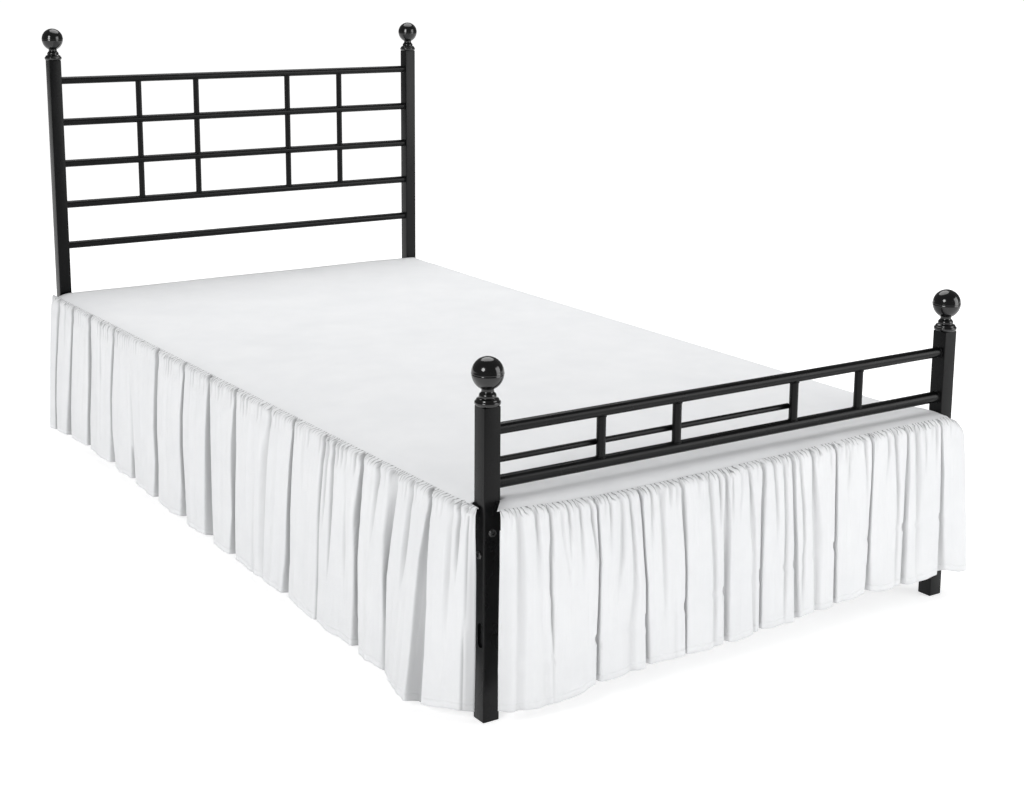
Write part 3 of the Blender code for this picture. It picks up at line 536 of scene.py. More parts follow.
def brushed_microfibre(name, painted_fold_shade=None):
    """Brushed white microfibre. A gathered piece has puckers, a hem and folds, with painted shade deep in
    its folds, its puckers and its tucks; the deck has painted shade where its edge turns down.
    """
    cloth = Recipe(name, 0.86, Specular_IOR_Level=0.22, Sheen_Weight=0.12, Sheen_Roughness=0.5)
    place = cloth.place()
    lie = cloth.node("UVMap", {"uv_map": "lie"})
    across, down = cloth.parts(lie)
    weave = (across * THREAD).wave() * (down * THREAD).wave()
    nap = cloth.noise(place, 950.0, 2.0)
    crumple = cloth.noise(place, 21.0, 4.0, 0.55)
    tone = cloth.noise(place, 5.5, 3.0)
    relief = weave * 0.00005 + nap * 0.00010 + crumple * 0.0022
    shade = tone * 0.6 + crumple * 0.4
    light, dark = grey(0.865, 0.018), grey(0.815, 0.024)
    colour = cloth.blend(cloth.ramp(shade, ((0.30, 1.0), (0.66, 0.0))), light, dark)
    if painted_fold_shade:
        below = cloth.measure("from_seam")
        above = cloth.measure("from_hem")
        closed = cloth.measure("closed_in")
        pucker = cloth.drawn_noise(lie, 190.0, 16.0)
        streak = cloth.drawn_noise(lie, 62.0, 3.4)
        near = cloth.ramp(below * 10.0, ((0.0, 1.0), (0.13, 0.9), (0.40, 0.0)))
        uneven = cloth.drawn_noise(lie, 34.0, 20.0)
        tuck_dent_and_shade = (across * TUCKS - down * TUCK_LEAN + uneven * 9.0).wave()
        tuck_dent_and_shade = cloth.ramp(abs(tuck_dent_and_shade), ((0.0, 1.0), (0.22, 0.8), (0.50, 0.0)))
        length = cloth.ramp(below * 30.0 - uneven * 0.9 + 0.25, ((0.0, 1.0), (0.45, 0.0)))
        tuck_dent_and_shade = tuck_dent_and_shade * length
        stitch = cloth.ramp(abs(above - HEM_HEIGHT) * 400.0, ((0.0, 1.0), (1.0, 0.0)))
        relief = relief + pucker * near * 0.0036 + streak * 0.0034 - stitch * 0.0007 - tuck_dent_and_shade * 0.0016
        # Painted shade: the more closed in a point lies among its folds, the more its colour turns to the
        # fold shade grey.
        fold_shade_share = cloth.ramp(closed, ((0.08, 0.0), (0.30, 0.55), (0.60, 0.90), (0.85, 1.0)))
        colour = cloth.blend(fold_shade_share, colour, grey(painted_fold_shade, 0.012))
        # Painted shade in the puckers just below the seam.
        pucker_shade = cloth.ramp(pucker, ((0.30, 1.0), (0.48, 0.0)))
        colour = cloth.blend(pucker_shade * near * 0.25, colour, grey(0.55, 0.012))
        # Painted shade in the tucks at the gathering stitches.
        colour = cloth.blend(tuck_dent_and_shade * 0.95, colour, grey(0.26, 0.008))
    else:
        edge = cloth.measure("from_seam")
        # Painted shade: the deck greys a little within its shoulder, where it turns down to the seam.
        turned = cloth.ramp(edge * 12.0, ((0.34, 1.0), (0.42, 0.0)))
        colour = cloth.blend(turned * 0.12, colour, grey(0.80, 0.018))
        press = cloth.noise(cloth.stretch(place, (1.0, 0.35, 1.0)), 6.0, 3.0)
        relief = relief + press * 0.004
    return cloth.finish(colour, 0.82 + nap * 0.12, cloth.bump(relief, 0.85, 1.0))


def pale_floor():
    """A matt white floor, lit from beneath more and more away from the bed."""
    floor = Recipe("pale_floor", 0.8, Specular_IOR_Level=0.05, Emission_Strength=1.0)
    place = floor.place()
    drift = floor.noise(place, 0.6, 2.0)
    reach = floor.node("VectorMath", {"operation": "LENGTH"}, (place,), "Value")
    glow = floor.ramp(reach * 0.05, ((0.04, 0.64), (0.45, 0.90)))
    floor.feed(floor.shader.inputs["Emission Color"], glow)
    return floor.finish(floor.blend(drift, grey(0.70), grey(0.74)))


# ---- mesh helpers
def add_object(name, data):
    made = bpy.data.objects.new(name, data)
    bpy.context.scene.collection.objects.link(made)
    return made


def mesh_from(bm, name):
    """The mesh of a bmesh that is then done with."""
    mesh = bpy.data.meshes.new(name)
    bm.to_mesh(mesh)
    bm.free()
    return mesh


def piece_from(bm, node, kind, finish, smooth_angle=None):
    """A finished piece from a bmesh, riding on the bed in place of its solid."""
    name = f"{node}_{kind}"
    mesh = mesh_from(bm, name)
    mesh.shade_smooth()
    if smooth_angle is not None:
        mesh.set_sharp_from_angle(angle=math.radians(smooth_angle))
    mesh.materials.append(finish)
    made = add_object(name, mesh)
    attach(made, "root")
    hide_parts(node)
    return made


def placed(place, way, axis="Z"):
    """What moves a piece to a place, with its axis pointing a way."""
    return Matrix.Translation(place) @ Vector(way).to_track_quat(axis, "Y").to_matrix().to_4x4()


def move(bm, way):
    bmesh.ops.translate(bm, vec=way, verts=bm.verts)


def block(size):
    """A bmesh of a block round the origin."""
    bm = bmesh.new()
    bmesh.ops.create_cube(bm, size=1.0)
    bmesh.ops.scale(bm, vec=size, verts=bm.verts)
    return bm


def round_edges(bm, edges, width, steps):
    bmesh.ops.bevel(
        bm, geom=edges, offset=width, segments=steps, profile=0.5, affect="EDGES", material=-1
    )


def spin_round(bm, outline, steps):
    """An outline spun a full turn about Z."""
    bmesh.ops.spin(
        bm, geom=outline, cent=(0, 0, 0), axis=(0, 0, 1), angle=math.tau, steps=steps, use_merge=True
    )


def rod(bm, start, end, radius):
    """A round rod between two points, added to a bmesh."""
    start, end = Vector(start), Vector(end)
    bmesh.ops.create_cone(
        bm, cap_ends=True, segments=BAR_SIDES, radius1=radius, radius2=radius,
        depth=(end - start).length, matrix=placed((start + end) / 2, end - start),
    )


def weld_bead(bm, place, way, radius):
    """A small rounded bead where a rod meets another piece, lying round the way it points."""
    bead = bmesh.new()
    bmesh.ops.create_circle(bead, segments=WELD_SIDES, radius=WELD_R)
    bmesh.ops.rotate(bead, verts=bead.verts, matrix=Matrix.Rotation(math.pi / 2, 3, "X"))
    move(bead, (radius, 0.0, 0.0))
    spin_round(bead, bead.verts[:] + bead.edges[:], BAR_SIDES)
    bmesh.ops.recalc_face_normals(bead, faces=bead.faces)
    bmesh.ops.transform(bead, matrix=placed(place, way), verts=bead.verts)
    mesh = mesh_from(bead, "bead")
    bm.from_mesh(mesh)
    bpy.data.meshes.remove(mesh)


# ---- metal bed
def climb(edge):
    """How far an edge climbs."""
    return abs(edge.verts[0].co.z - edge.verts[1].co.z)


def square_post(name, x, y, top, finish):
    """A square tube post with rounded corners, a closed top and, at the foot, a hook slot."""
    bm = block((POST, POST, top))
    move(bm, (x, y, top / 2))
    upright = [e for e in bm.edges if climb(e) > top / 2]
    round_edges(bm, upright, POST_CORNER, POST_CORNER_STEPS)
    rims = [e for e in bm.edges if climb(e) < POST_CORNER / 2]
    round_edges(bm, rims, POST_TOP_EDGE, POST_TOP_STEPS)
    if name.startswith("foot"):
        bm = with_hook_slot(bm, math.copysign(abs(x) + POST / 2, x), y - SLOT_FORWARD)
    return piece_from(bm, name, "tube", finish, smooth_angle=32)


def with_hook_slot(bm, face_x, y):
    """A post's bmesh with a shallow round-ended slot cut into its outer face."""
    cutter = block((2 * SLOT_DEPTH, SLOT_WIDTH, SLOT_HEIGHT))
    along_x = [e for e in cutter.edges if abs(e.verts[0].co.x - e.verts[1].co.x) > SLOT_DEPTH]
    round_edges(cutter, along_x, SLOT_WIDTH * SLOT_ROUND, SLOT_STEPS)
    move(cutter, (face_x, y, SLOT_Z))
    post = add_object("post being cut", mesh_from(bm, "post being cut"))
    slot = add_object("slot", mesh_from(cutter, "slot"))
    post.modifiers.new("slot", "BOOLEAN").object = slot
    bpy.context.view_layer.update()
    done = bpy.data.meshes.new_from_object(post.evaluated_get(bpy.context.evaluated_depsgraph_get()))
    slotted = bmesh.new()
    slotted.from_mesh(done)
    for spent in (done, post.data, slot.data):
        bpy.data.meshes.remove(spent)  # and the object that has it
    return slotted


def finial(name, x, y, top, finish):
    """The turned ball, its seam rib and its neck, spun from a half outline."""
    ball = [(0.0, BALL_Z + BALL_R)]
    for step in range(1, BALL_STEPS):
        turn = math.radians(90) - step * math.radians(BALL_TURN) / (BALL_STEPS - 1)
        height = BALL_R * math.sin(turn) * (BALL_LOWER if turn < 0.0 else 1.0)
        ball.append((BALL_R * math.cos(turn), BALL_Z + height))
    rib = [(radius, BALL_Z + height) for radius, height in RIB]
    above = [point for point in ball if point[1] > rib[0][1]]
    below = [point for point in ball if point[1] < rib[-1][1]]
    outline = [*above, *rib, *below, *NECK, (0.0, NECK[-1][1])]
    bm = bmesh.new()
    points = [bm.verts.new((radius, 0.0, height)) for radius, height in outline]
    edges = [bm.edges.new(pair) for pair in zip(points, points[1:])]
    spin_round(bm, points + edges, FINIAL_SIDES)
    bmesh.ops.remove_doubles(bm, verts=bm.verts, dist=MERGE)
    bmesh.ops.recalc_face_normals(bm, faces=bm.faces)
    move(bm, (x, y, top))
    return piece_from(bm, name.replace("post", "finial"), "turned", finish, smooth_angle=60)


def cross_bar(name, y, z, radius, finish, end_x=POST_X - POST / 2):
    """A round bar from the left post to end_x, with its weld beads."""
    start_x = -POST_X + POST / 2
    bm = bmesh.new()
    rod(bm, (start_x - GAP, y, z), (end_x, y, z), radius)
    weld_bead(bm, (start_x + WELD_STAND, y, z), (1, 0, 0), radius)
    if end_x > POST_X - POST:
        weld_bead(bm, (end_x - WELD_STAND, y, z), (1, 0, 0), radius)
    else:
        rim = [e for e in bm.edges if min(v.co.x for v in e.verts) > end_x - GAP]
        round_edges(bm, rim, radius * BAR_END_ROUND, BAR_END_STEPS)
    return piece_from(bm, name, "tube", finish, smooth_angle=40)


def spindle(name, x, y, low, high, radius, bar_radius, finish):
    """A round spindle standing between two bars, welded to both."""
    bm = bmesh.new()
    rod(bm, (x, y, low + bar_radius / 2), (x, y, high - bar_radius / 2), radius)
    for z in (low + bar_radius * WELD_RISE, high - bar_radius * WELD_RISE):
        weld_bead(bm, (x, y, z), (0, 0, 1), radius * WELD_HUG)
    return piece_from(bm, name, "tube", finish, smooth_angle=40)


def headboard(finish):
    heights = [HEAD_TOP_BAR_Z - index * HEAD_BAR_PITCH for index in range(HEAD_BAR_COUNT)]
    for index, z in enumerate(heights, start=1):
        cross_bar(f"head_bar_{index}", HEAD_Y, z, HEAD_BAR_R, finish)
    for place, x in enumerate(SPINDLE_PLACES, start=1):
        for row in range(SPINDLED_HEAD_BARS - 1):
            name = f"head_spindle_{place}_{row + 1}"
            spindle(name, x, HEAD_Y, heights[row + 1], heights[row], HEAD_SPINDLE_R, HEAD_BAR_R, finish)


def footboard(finish):
    cross_bar("foot_top_bar", FOOT_Y, FOOT_TOP_BAR_Z, FOOT_TOP_BAR_R, finish)
    cross_bar("foot_low_bar", FOOT_Y, FOOT_LOW_BAR_Z, FOOT_LOW_BAR_R, finish)
    for place, x in enumerate(SPINDLE_PLACES, start=1):
        spindle(
            f"foot_spindle_{place}", x, FOOT_Y, FOOT_LOW_BAR_Z, FOOT_TOP_BAR_Z,
            FOOT_SPINDLE_R, FOOT_LOW_BAR_R, finish,
        )
    behind = FOOT_Y + FOOT_SPINDLE_R + STOP_BAR_R + GAP
    cross_bar("stop_bar", behind, STOP_BAR_Z, STOP_BAR_R, finish, SPINDLE_PLACES[STOP_BAR_END])


def bolt_head(name, place, way, finish):
    """A domed bolt head with a hexagon socket, facing a way."""
    bm = bmesh.new()
    foot, top = BOLT_R, BOLT_R * BOLT_TOP
    bmesh.ops.create_cone(
        bm, cap_ends=True, segments=BOLT_SIDES, radius1=foot, radius2=top, depth=BOLT_HEIGHT
    )
    move(bm, (0.0, 0.0, BOLT_HEIGHT / 2))
    rim = [e for e in bm.edges if all(v.co.z > BOLT_HEIGHT / 2 for v in e.verts)]
    round_edges(bm, rim, BOLT_HEIGHT * BOLT_DOME, BOLT_DOME_STEPS)
    crown = max(bm.faces, key=lambda face: (round(face.calc_center_median().z, 6), face.calc_area()))
    wide = max(v.co.xy.length for v in crown.verts)
    bmesh.ops.inset_individual(bm, faces=[crown], thickness=wide - SOCKET_R, depth=0.0)
    sunk = bmesh.ops.extrude_face_region(bm, geom=[crown])
    floor = [v for v in sunk["geom"] if isinstance(v, bmesh.types.BMVert)]
    bmesh.ops.delete(bm, geom=[crown], context="FACES_ONLY")
    bmesh.ops.translate(bm, vec=(0.0, 0.0, -SOCKET_DEPTH), verts=floor)
    bmesh.ops.recalc_face_normals(bm, faces=bm.faces)
    bmesh.ops.transform(bm, matrix=placed(place, way), verts=bm.verts)
    return piece_from(bm, name, "head", finish, smooth_angle=35)


def bolts(finish):
    stand = POST / 2 + GAP
    for side, sign in (("left", -1), ("right", 1)):
        x = sign * POST_X
        bolt_head(f"face_bolt_{side}", (x, FOOT_Y - stand, FACE_BOLT_Z), (0, -1, 0), finish)
        bolt_head(f"side_bolt_{side}", (x + sign * stand, FOOT_Y, SIDE_BOLT_Z), (sign, 0, 0), finish)


# ---- cloth
def smooth_step(value):
    value = np.clip(value, 0.0, 1.0)
    return value * value * (3.0 - 2.0 * value)


def along(line, field, at):
    """One column of a seam table, read between its rows, in metres."""
    rows = sorted(line)
    return np.interp(at, [row.at / 1000.0 for row in rows], [getattr(row, field) / 1000.0 for row in rows])


def side_path(sign):
    """The straight seam of one long side: places along Y give points and outward ways."""
    def path(at):
        inset = along(LEFT_LINE, "inset", at) if sign < 0 else 0.0
        points = np.stack([sign * (SEAM_X - inset) + 0.0 * at, BED_MIDDLE_Y + at], axis=-1)
        return points, np.broadcast_to(np.array([float(sign), 0.0]), points.shape)
    return path


def foot_path(at):
    """The foot seam: across the foot, then round the foot right corner."""
    start_of_arc = SEAM_X - CORNER_R
    past = at - start_of_arc
    turn = np.clip(past / CORNER_R, 0.0, math.pi / 2)
    out = np.stack([np.sin(turn), -np.cos(turn)], axis=-1)
    middle = np.array([start_of_arc, BED_MIDDLE_Y - SEAM_FOOT_Y + CORNER_R])
    reach = CORNER_R + CORNER_SLACK * smooth_step(past / CORNER_SLACK / 10)
    points = middle + reach[..., None] * out
    points[..., 0] += np.minimum(past, 0.0)
    points[..., 1] += np.maximum(past - CORNER_R * math.pi / 2, 0.0)
    return points, out


def fold_measure(fold, field, level):
    """A fold's place, half width or depth at a level, in metres."""
    column = getattr(fold, field)
    column = column + column[-1:] * (len(FOLD_LEVELS) - len(column))
    return np.interp(level, FOLD_LEVELS, column) / 1000.0


def middle_of(fold):
    """A fold's place halfway down, in metres."""
    return fold_measure(fold, "place", 0.5)


def deep_folds(folds):
    """The folds that the columns of the cloth follow, in order along the seam."""
    return sorted((fold for fold in folds if max(fold.deep) > SHALLOW), key=middle_of)


def swelling(folds, ends, at):
    """How far the cloth swells out between the two deep valleys on either side of a place."""
    marks = np.array(sorted({middle_of(fold) for fold in deep_folds(folds)} | set(ends)))
    right = np.clip(np.searchsorted(marks, at), 1, len(marks) - 1)
    width = marks[right] - marks[right - 1]
    share = (at - marks[right - 1]) / width
    most = np.minimum(LOBE_SHARE * width, LOBE_MOST)
    return most * np.maximum(4.0 * share * (1.0 - share), 0.0) ** 0.5


def valleys(folds, where, level, jog, wider):
    """How deep the cloth lies in its valleys, each set over by jog and opened wider."""
    deep = np.zeros(where.shape)
    for fold in folds:
        crisp = fold.crisp or (STEEP_SIDES if max(fold.deep) > SHALLOW else SOFT_SIDES)
        half = fold_measure(fold, "half", level) * LIP * wider
        away = (where - fold_measure(fold, "place", level) + jog) / half
        deep = np.maximum(deep, fold_measure(fold, "deep", level) * np.exp(-np.abs(away) ** crisp))
    return deep


def ripple(waves, at, level):
    """Small uneven waves of the cloth; each drifts sideways on its way down."""
    total = np.zeros(at.shape)
    for number, wave in enumerate(waves, start=1):
        turn = math.tau * at / wave.length + wave.turn + wave.lean * level
        uneven = 1.0 - UNEVEN + UNEVEN * np.sin(at * UNEVEN_ALONG / number + wave.turn * 2.0)
        wander = WANDER * np.sin(at * WANDER_ALONG * number + wave.lean)
        total += wave.deep * uneven * np.sin(turn + wander)
    return total


def fold_shift(folds, ends, at, level):
    """How far sideways a column lies at a level, so that it follows the valleys beside it."""
    followed = [fold for fold in deep_folds(folds) if min(ends) < middle_of(fold) < max(ends)]
    middles = [min(ends), *map(middle_of, followed), max(ends)]
    shift = np.zeros(at.shape)
    for row in range(at.shape[0]):
        drifts = [fold_measure(fold, "place", level[row, 0]) - middle_of(fold) for fold in followed]
        shift[row] = np.interp(at[row], middles, [0.0, *drifts, 0.0])
    return shift


def dense_columns(folds, ends):
    """Columns along a ruffle, closer together at each deep valley."""
    ruler = np.linspace(min(ends), max(ends), RULER_MARKS)
    density = np.full(ruler.shape, 1.0 / COLUMN_SPACING)
    for fold in deep_folds(folds):
        half = fold_measure(fold, "half", 0.5)
        away = np.abs(ruler - middle_of(fold)) / half
        lips = np.exp(-((away - LIP) / LIP_WIDTH) ** 2) / max(half / LIP_COLUMNS, LIP_LEAST)
        density += lips + np.exp(-away ** 4) / max(half / VALLEY_COLUMNS, VALLEY_LEAST)
    counted = np.concatenate([[0.0], np.cumsum((density[1:] + density[:-1]) / 2 * np.diff(ruler))])
    return np.interp(np.linspace(0.0, counted[-1], math.ceil(counted[-1]) + 1), counted, ruler)


def closed_in(where, out):
    """How closed in each point lies between its neighbours along a row: 0 in the open, 1 in a slot."""
    walls = []
    for side in (-1, 1):
        steepest = np.zeros(where.shape)
        for reach in range(1, NEIGHBOURS + 1):
            across = np.abs(np.roll(where, side * reach, axis=1) - where)
            rise = np.roll(out, side * reach, axis=1) - out
            rise[:, :reach] = np.where(side > 0, 0.0, rise[:, :reach])
            rise[:, -reach:] = np.where(side < 0, 0.0, rise[:, -reach:])
            steepest = np.maximum(steepest, np.arctan2(rise, across + NEIGHBOUR_LEAST))
        walls.append(steepest)
    return (walls[0] + walls[1]) / math.pi


def ruffle_rows():
    """Rows from seam to hem: share of the lead, extra out, extra down, share of the roll, level."""
    rows = [(0, out, down, 0, 0) for out, down in SEAM_TURN]
    for step in range(1, SHOULDER_STEPS + 1):
        turn = math.pi / 2 * step / SHOULDER_STEPS
        rows.append((math.sin(turn) ** SHOULDER_OUT, 0, 0, (1.0 - math.cos(turn)) ** SHOULDER_DOWN, 0))
    for step in range(1, DROP_STEPS + 1):
        rows.append((1, 0, 0, 1, (step / DROP_STEPS) ** DROP_EASE))
    return rows


def ruffle_surface(folds, line, ends, path, creased):
    """The points of a ruffle's outer face by row and column, and how closed in each lies."""
    at = dense_columns(folds, ends)
    rows = np.array(ruffle_rows())
    share, extra_out, extra_down, roll, level = (rows[:, i][:, None] for i in range(5))
    at = np.broadcast_to(at, (len(rows), len(at)))
    where = at + fold_shift(folds, ends, at, level)
    seam_z, hem_z = along(line, "seam_z", where), along(line, "hem_z", where)
    for high, often, start in HEM_WAVES:
        hem_z = hem_z + high * np.sin(where * often + start)
    shoulder = np.interp(where, *zip(*CORNER_ROLL)) if creased else SHOULDER_DROP
    below = extra_down + roll * shoulder + level * (seam_z - shoulder - hem_z)
    height = seam_z - below
    kinked = jog = np.zeros(where.shape)
    if creased:
        past = (height - np.interp(where, *zip(*CREASE))) / CREASE_HALF
        kinked = np.exp(-past ** 2)
        jog = CREASE_JOG * kinked - CREASE_BACK * np.exp(-(past + CREASE_BELOW) ** 2)
    pulled = np.clip(1.0 - below / SEAM_PULL, 0.0, 1.0) ** 2
    jog = jog + pulled * (SEAM_LEAN if creased else -SEAM_LEAN)
    deep = valleys(folds, where, level, jog, 1.0 + CREASE_OPENS * kinked)
    deep = deep * smooth_step(VALLEY_START + below / VALLEY_FADE) * (FOOT_DEPTH if creased else 1.0)
    points, outward = path(where)
    grown = (LOBE_AT_TOP + (1.0 - LOBE_AT_TOP) * level) * smooth_step(level / LOBE_LEVEL)
    swell = swelling(folds, ends, at) * grown
    lead = along(line, "lead", where) * share + extra_out
    flare = along(line, "flare", where) * level ** along(line, "bow", where)
    gone = GATHER_GONE * smooth_step((below - GATHER_GONE_FROM) / GATHER_GONE_OVER)
    gathers = ripple(GATHERS, at, level) * (smooth_step(GATHER_START + below / GATHER_FADE) * (1.0 - gone))
    swells = ripple(SWELLS, at, level) * smooth_step(level / SWELL_LEVEL)
    relief = swell - deep - CREASE_IN * kinked + (gathers + swells)
    out = GAP + lead + flare + relief
    flat = points + outward * out[..., None]
    surface = np.concatenate([flat, height[..., None]], axis=-1)
    return surface, closed_in(where, relief)


def running_length(points, axis):
    """Length along the cloth from its first row or column, in metres."""
    steps = np.linalg.norm(np.diff(points, axis=axis), axis=-1)
    start = np.zeros_like(np.take(steps, [0], axis=axis))
    return np.cumsum(np.concatenate([start, steps], axis=axis), axis=axis)


def cloth_mesh(surface, facing, measures, lie):
    """A bmesh grid laid onto a surface, with its measures and the cloth's own lie."""
    rows, columns = surface.shape[:2]
    bm = bmesh.new()
    layers = {name: bm.verts.layers.float.new(name) for name in measures}
    uv = bm.loops.layers.uv.new("lie")
    bmesh.ops.create_grid(bm, x_segments=columns - 1, y_segments=rows - 1, size=1.0)
    crossings = {}
    for vert in bm.verts:
        column = round((vert.co.x + 1.0) / 2.0 * (columns - 1))
        row = round((vert.co.y + 1.0) / 2.0 * (rows - 1))
        crossings[vert.index] = (row, column)
        vert.co = surface[row, column]
        for name, values in measures.items():
            vert[layers[name]] = values[row, column]
    for face in bm.faces:
        for loop in face.loops:
            loop[uv].uv = lie[crossings[loop.vert.index]]
    bm.normal_update()
    total = sum((face.normal * face.calc_area() for face in bm.faces), Vector())
    if total.dot(Vector(facing)) < 0.0:
        bmesh.ops.reverse_faces(bm, faces=bm.faces)
    return bm


def cloth_piece(bm, node, finish):
    """A finished piece of cloth, whose thickness goes to its inner side."""
    made = piece_from(bm, node, "cloth", finish)
    solid = made.modifiers.new("cloth thickness", "SOLIDIFY")
    solid.thickness = CLOTH
    solid.offset = -1.0
    return made


def ruffle(name, folds, line, ends, path, facing, finish, creased=False):
    """A gathered ruffle, from its seam to its hem."""
    surface, closed = ruffle_surface(folds, line, ends, path, creased)
    down = running_length(surface, 0)
    across = running_length(surface[len(surface) // 2][None], 1)[0]
    measures = {"from_seam": down, "from_hem": down[-1] - down, "closed_in": closed}
    lie = np.stack([np.broadcast_to(across, down.shape), down], axis=-1)
    return cloth_piece(cloth_mesh(surface, facing, measures, lie), name, finish)


def deck_fall(x, y):
    """How far the deck has fallen below its flat part at a place, y from the posts' middle."""
    edges = (
        (SEAM_X + x, SHOULDER, along(LEFT_LINE, "seam_z", y), ROUND_FALL),
        (SEAM_X - x, along(RIGHT_SHOULDER, "width", y), along(RIGHT_LINE, "seam_z", y), STRAIGHT_FALL),
        (SEAM_FOOT_Y + y, SHOULDER, along(FOOT_LINE, "seam_z", x), ROUND_FALL),
    )
    falls = [(DECK_TOP - seam) * np.clip(1.0 - inside / width, 0.0, 1.0) ** bend
             for inside, width, seam, bend in edges]
    return np.maximum.reduce(falls)


def deck_surface(columns, rows):
    """The deck's upper face, with the foot right corner rounded and a flap past the left post."""
    x, y = (grid.copy() for grid in np.meshgrid(columns, rows))
    from_seam = np.minimum.reduce([SEAM_X + x, SEAM_X - x, SEAM_FOOT_Y + y])
    middle = (SEAM_X - CORNER_R, -SEAM_FOOT_Y + CORNER_R)
    away_x, away_y = x - middle[0], y - middle[1]
    reach = np.maximum(away_x, -away_y)
    turned = (away_x > 0.0) & (away_y < 0.0) & (reach > ROUNDED_FROM)
    scale = np.where(turned, reach / np.maximum(np.hypot(away_x, away_y), GAP), 1.0)
    x, y = middle[0] + away_x * scale, middle[1] + away_y * scale
    flap = (x < LEFT_NOTCH[0] + GAP) & (y < FLAP_FROM)
    x = x - np.where(flap, FLAP_REACH * (FLAP_FROM - y) / (FLAP_FROM + SEAM_FOOT_Y), 0.0)
    x = x + np.where(x < GAP - SEAM_X, along(LEFT_LINE, "inset", y), 0.0)
    inner = smooth_step((from_seam - DECK_SWELL_FROM) / DECK_SWELL_OVER)
    waves = (np.sin(x * along_x + y * along_y + start) for along_x, along_y, start in DECK_WAVES)
    rise = DECK_SWELL * inner * sum(waves, 2.0)
    height = DECK_TOP - deck_fall(x, y) + rise
    return np.stack([x, BED_MIDDLE_Y + y, height], axis=-1), from_seam


def shared_out(marks):
    """Marks with more between them, so that none is further than DECK_SPACING from the next."""
    marks = sorted(marks)
    filled = []
    for left, right in zip(marks, marks[1:]):
        parts = max(1, math.ceil((right - left) / DECK_SPACING))
        filled += [left + (right - left) * step / parts for step in range(parts)]
    return np.array(filled + [marks[-1]])


def deck_keeps(x, y):
    """False where the flat deck panel is cut away for a post or slit."""
    (low_x, low_y), (high_x, high_y) = RIGHT_HOLE
    notch = x < LEFT_NOTCH[0] and y < LEFT_NOTCH[1]
    hole = low_x < x < high_x and low_y < y < high_y
    slit = x > high_x and RIGHT_SLIT_Y < y < high_y
    return not (notch or hole or slit)


def deck(finish):
    """The deck panel, cut round the foot posts."""
    (low_x, low_y), (high_x, high_y) = RIGHT_HOLE
    columns = [-SEAM_X + SHOULDER * share for share in SHOULDER_SHARES]
    columns += [LEFT_NOTCH[0], *RIGHT_CREASES, low_x, SEAM_X - CORNER_R, high_x]
    columns += [SEAM_X - DECK_EDGE, SEAM_X]
    rows = [-SEAM_FOOT_Y + SHOULDER * share for share in SHOULDER_SHARES]
    rows += [low_y, -SEAM_FOOT_Y + CORNER_R, RIGHT_SLIT_Y, LEFT_NOTCH[1], high_y, DECK_HEAD_Y]
    columns, rows = shared_out(columns), shared_out(rows)
    surface, from_seam = deck_surface(columns, rows)
    lie = np.stack(np.meshgrid(columns, rows), axis=-1)
    bm = cloth_mesh(surface, (0, 0, 1), {"from_seam": from_seam}, lie)
    uv = bm.loops.layers.uv["lie"]
    middles = ((face, sum((loop[uv].uv for loop in face.loops), Vector((0, 0))) / 4) for face in bm.faces)
    gone = [face for face, middle in middles if not deck_keeps(*middle)]
    bmesh.ops.delete(bm, geom=gone, context="FACES")
    return cloth_piece(bm, "deck_panel", finish)


def skirt():
    plain = brushed_microfibre("brushed_microfibre_deck")
    # The side and foot finishes are one cloth; they differ only in how dark the painted shade in their
    # folds is.
    side_cloth = brushed_microfibre("brushed_microfibre_side", SIDE_FOLD_SHADE)
    foot_cloth = brushed_microfibre("brushed_microfibre_foot", FOOT_FOLD_SHADE)
    arc = CORNER_R * math.pi / 2
    foot_ends = (FOOT_RUFFLE_START, SEAM_X - CORNER_R + arc + FOOT_RUFFLE_PAST)
    panel = deck(plain)
    left = ruffle(
        "ruffle_left", LEFT_FOLDS, LEFT_LINE, LEFT_RUFFLE_ENDS, side_path(-1), (-1, 0, 0), side_cloth
    )
    foot = ruffle(
        "ruffle_foot", FOOT_FOLDS, FOOT_LINE, foot_ends, foot_path, (0, -1, 0), foot_cloth, creased=True
    )
    right = ruffle(
        "ruffle_right", RIGHT_FOLDS, RIGHT_LINE, RIGHT_RUFFLE_ENDS, side_path(1), (1, 0, 0), side_cloth
    )


def bed():
    coat = black_powder_coat()
    gloss = gloss_black()
    steel = bright_bolt()
    for name, x, y, top in POST_PLACES:
        square_post(name, x, y, top, coat)
        finial(name, x, y, top, gloss)
    headboard(coat)
    footboard(coat)
    bolts(steel)
    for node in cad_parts.values():
        if not node.hide_render:
            node.data.materials.clear()
            node.data.materials.append(coat)


# ---- camera and lights
CAMERA_PLACE = (-1.8504, -3.0211, 1.1755)
CAMERA_TURN = (0.5678, 0.1983, 0.0027)  # yaw, pitch and roll
FOCAL_PIXELS = 1642.63  # focal length for an image IMAGE_WIDTH wide
IMAGE_WIDTH = 1024
SENSOR = 36.0
SHIFT = (0.0410, -0.0908)
FARTHEST = 400.0
FLOOR_HALF = 150.0


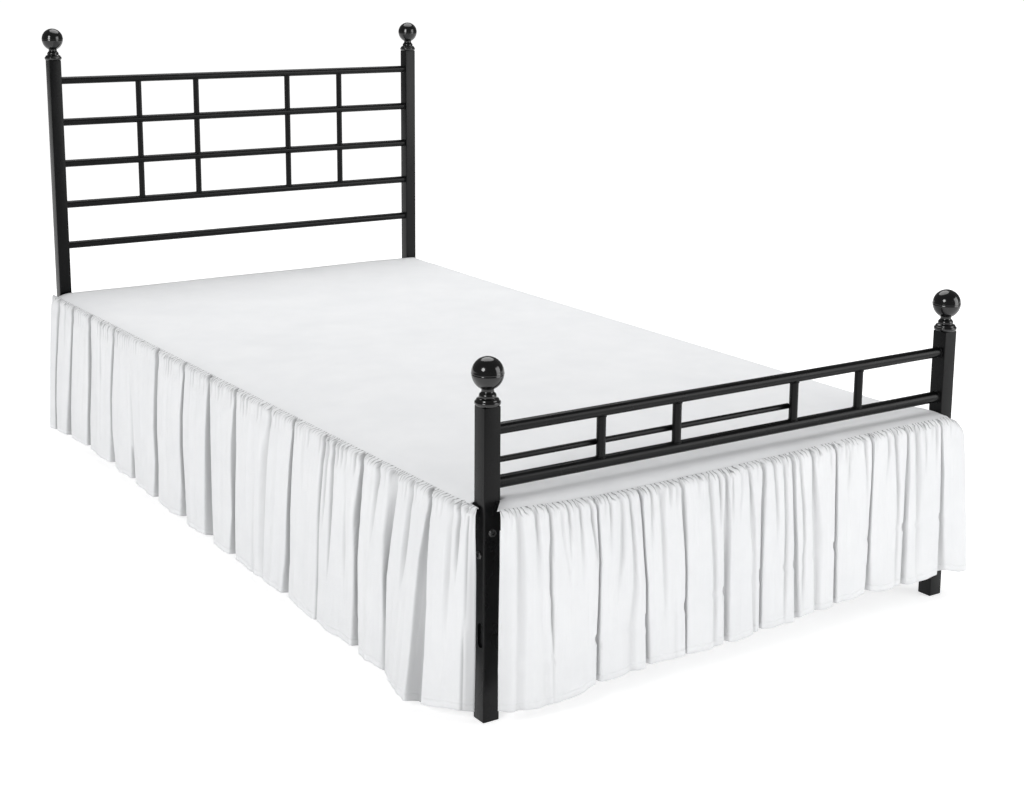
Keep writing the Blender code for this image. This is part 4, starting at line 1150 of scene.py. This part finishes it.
def camera():
    """The camera, turned from its yaw, pitch and roll."""
    yaw, pitch, roll = CAMERA_TURN
    ahead = Vector((math.sin(yaw) * math.cos(pitch), math.cos(yaw) * math.cos(pitch), -math.sin(pitch)))
    right = Vector((math.cos(yaw), -math.sin(yaw), 0.0))
    up = right.cross(ahead)
    level_right = right * math.cos(roll) + up * math.sin(roll)
    level_up = up * math.cos(roll) - right * math.sin(roll)
    lens = bpy.data.cameras.new("camera")
    lens.sensor_width = SENSOR
    lens.lens = FOCAL_PIXELS / IMAGE_WIDTH * SENSOR
    lens.shift_x, lens.shift_y = SHIFT
    lens.clip_end = FARTHEST
    made = add_object("camera", lens)
    turn = Matrix((level_right, level_up, -ahead)).transposed()
    made.matrix_world = Matrix.Translation(CAMERA_PLACE) @ turn.to_4x4()
    bpy.context.scene.camera = made


Softbox = namedtuple("Softbox", "name place aim size power shape")
SOFTBOXES = (
    Softbox("key", (-7.10, -3.50, 4.60), (0.0, 0.0, 0.3), 3.2, 282.0, "DISK"),
    Softbox("fill", (4.30, -5.20, 2.40), (0.0, 0.0, 0.3), 3.8, 168.0, "SQUARE"),
    Softbox("back", (0.90, 1.50, 4.60), (0.0, 0.0, 0.2), 4.6, 168.0, "DISK"),
)
SKY = 0.20


def studio():
    """A pale floor under an even white surround, with three softboxes."""
    bm = bmesh.new()
    bmesh.ops.create_grid(bm, x_segments=1, y_segments=1, size=FLOOR_HALF)
    mesh = mesh_from(bm, "floor")
    mesh.materials.append(pale_floor())
    floor = add_object("floor", mesh)
    for box in SOFTBOXES:
        light = bpy.data.lights.new(box.name, "AREA")
        light.shape = box.shape
        light.size = box.size
        light.energy = box.power
        made = add_object(box.name, light)
        made.matrix_world = placed(box.place, Vector(box.aim) - Vector(box.place), "-Z")
    surround = bpy.data.worlds.new("surround")
    surround.use_nodes = True
    sky = surround.node_tree.nodes["Background"].inputs
    sky["Color"].default_value = grey(1.0)
    sky["Strength"].default_value = SKY
    bpy.context.scene.world = surround
    bpy.context.scene.view_settings.view_transform = "Standard"


camera()
studio()
bed()
skirt()
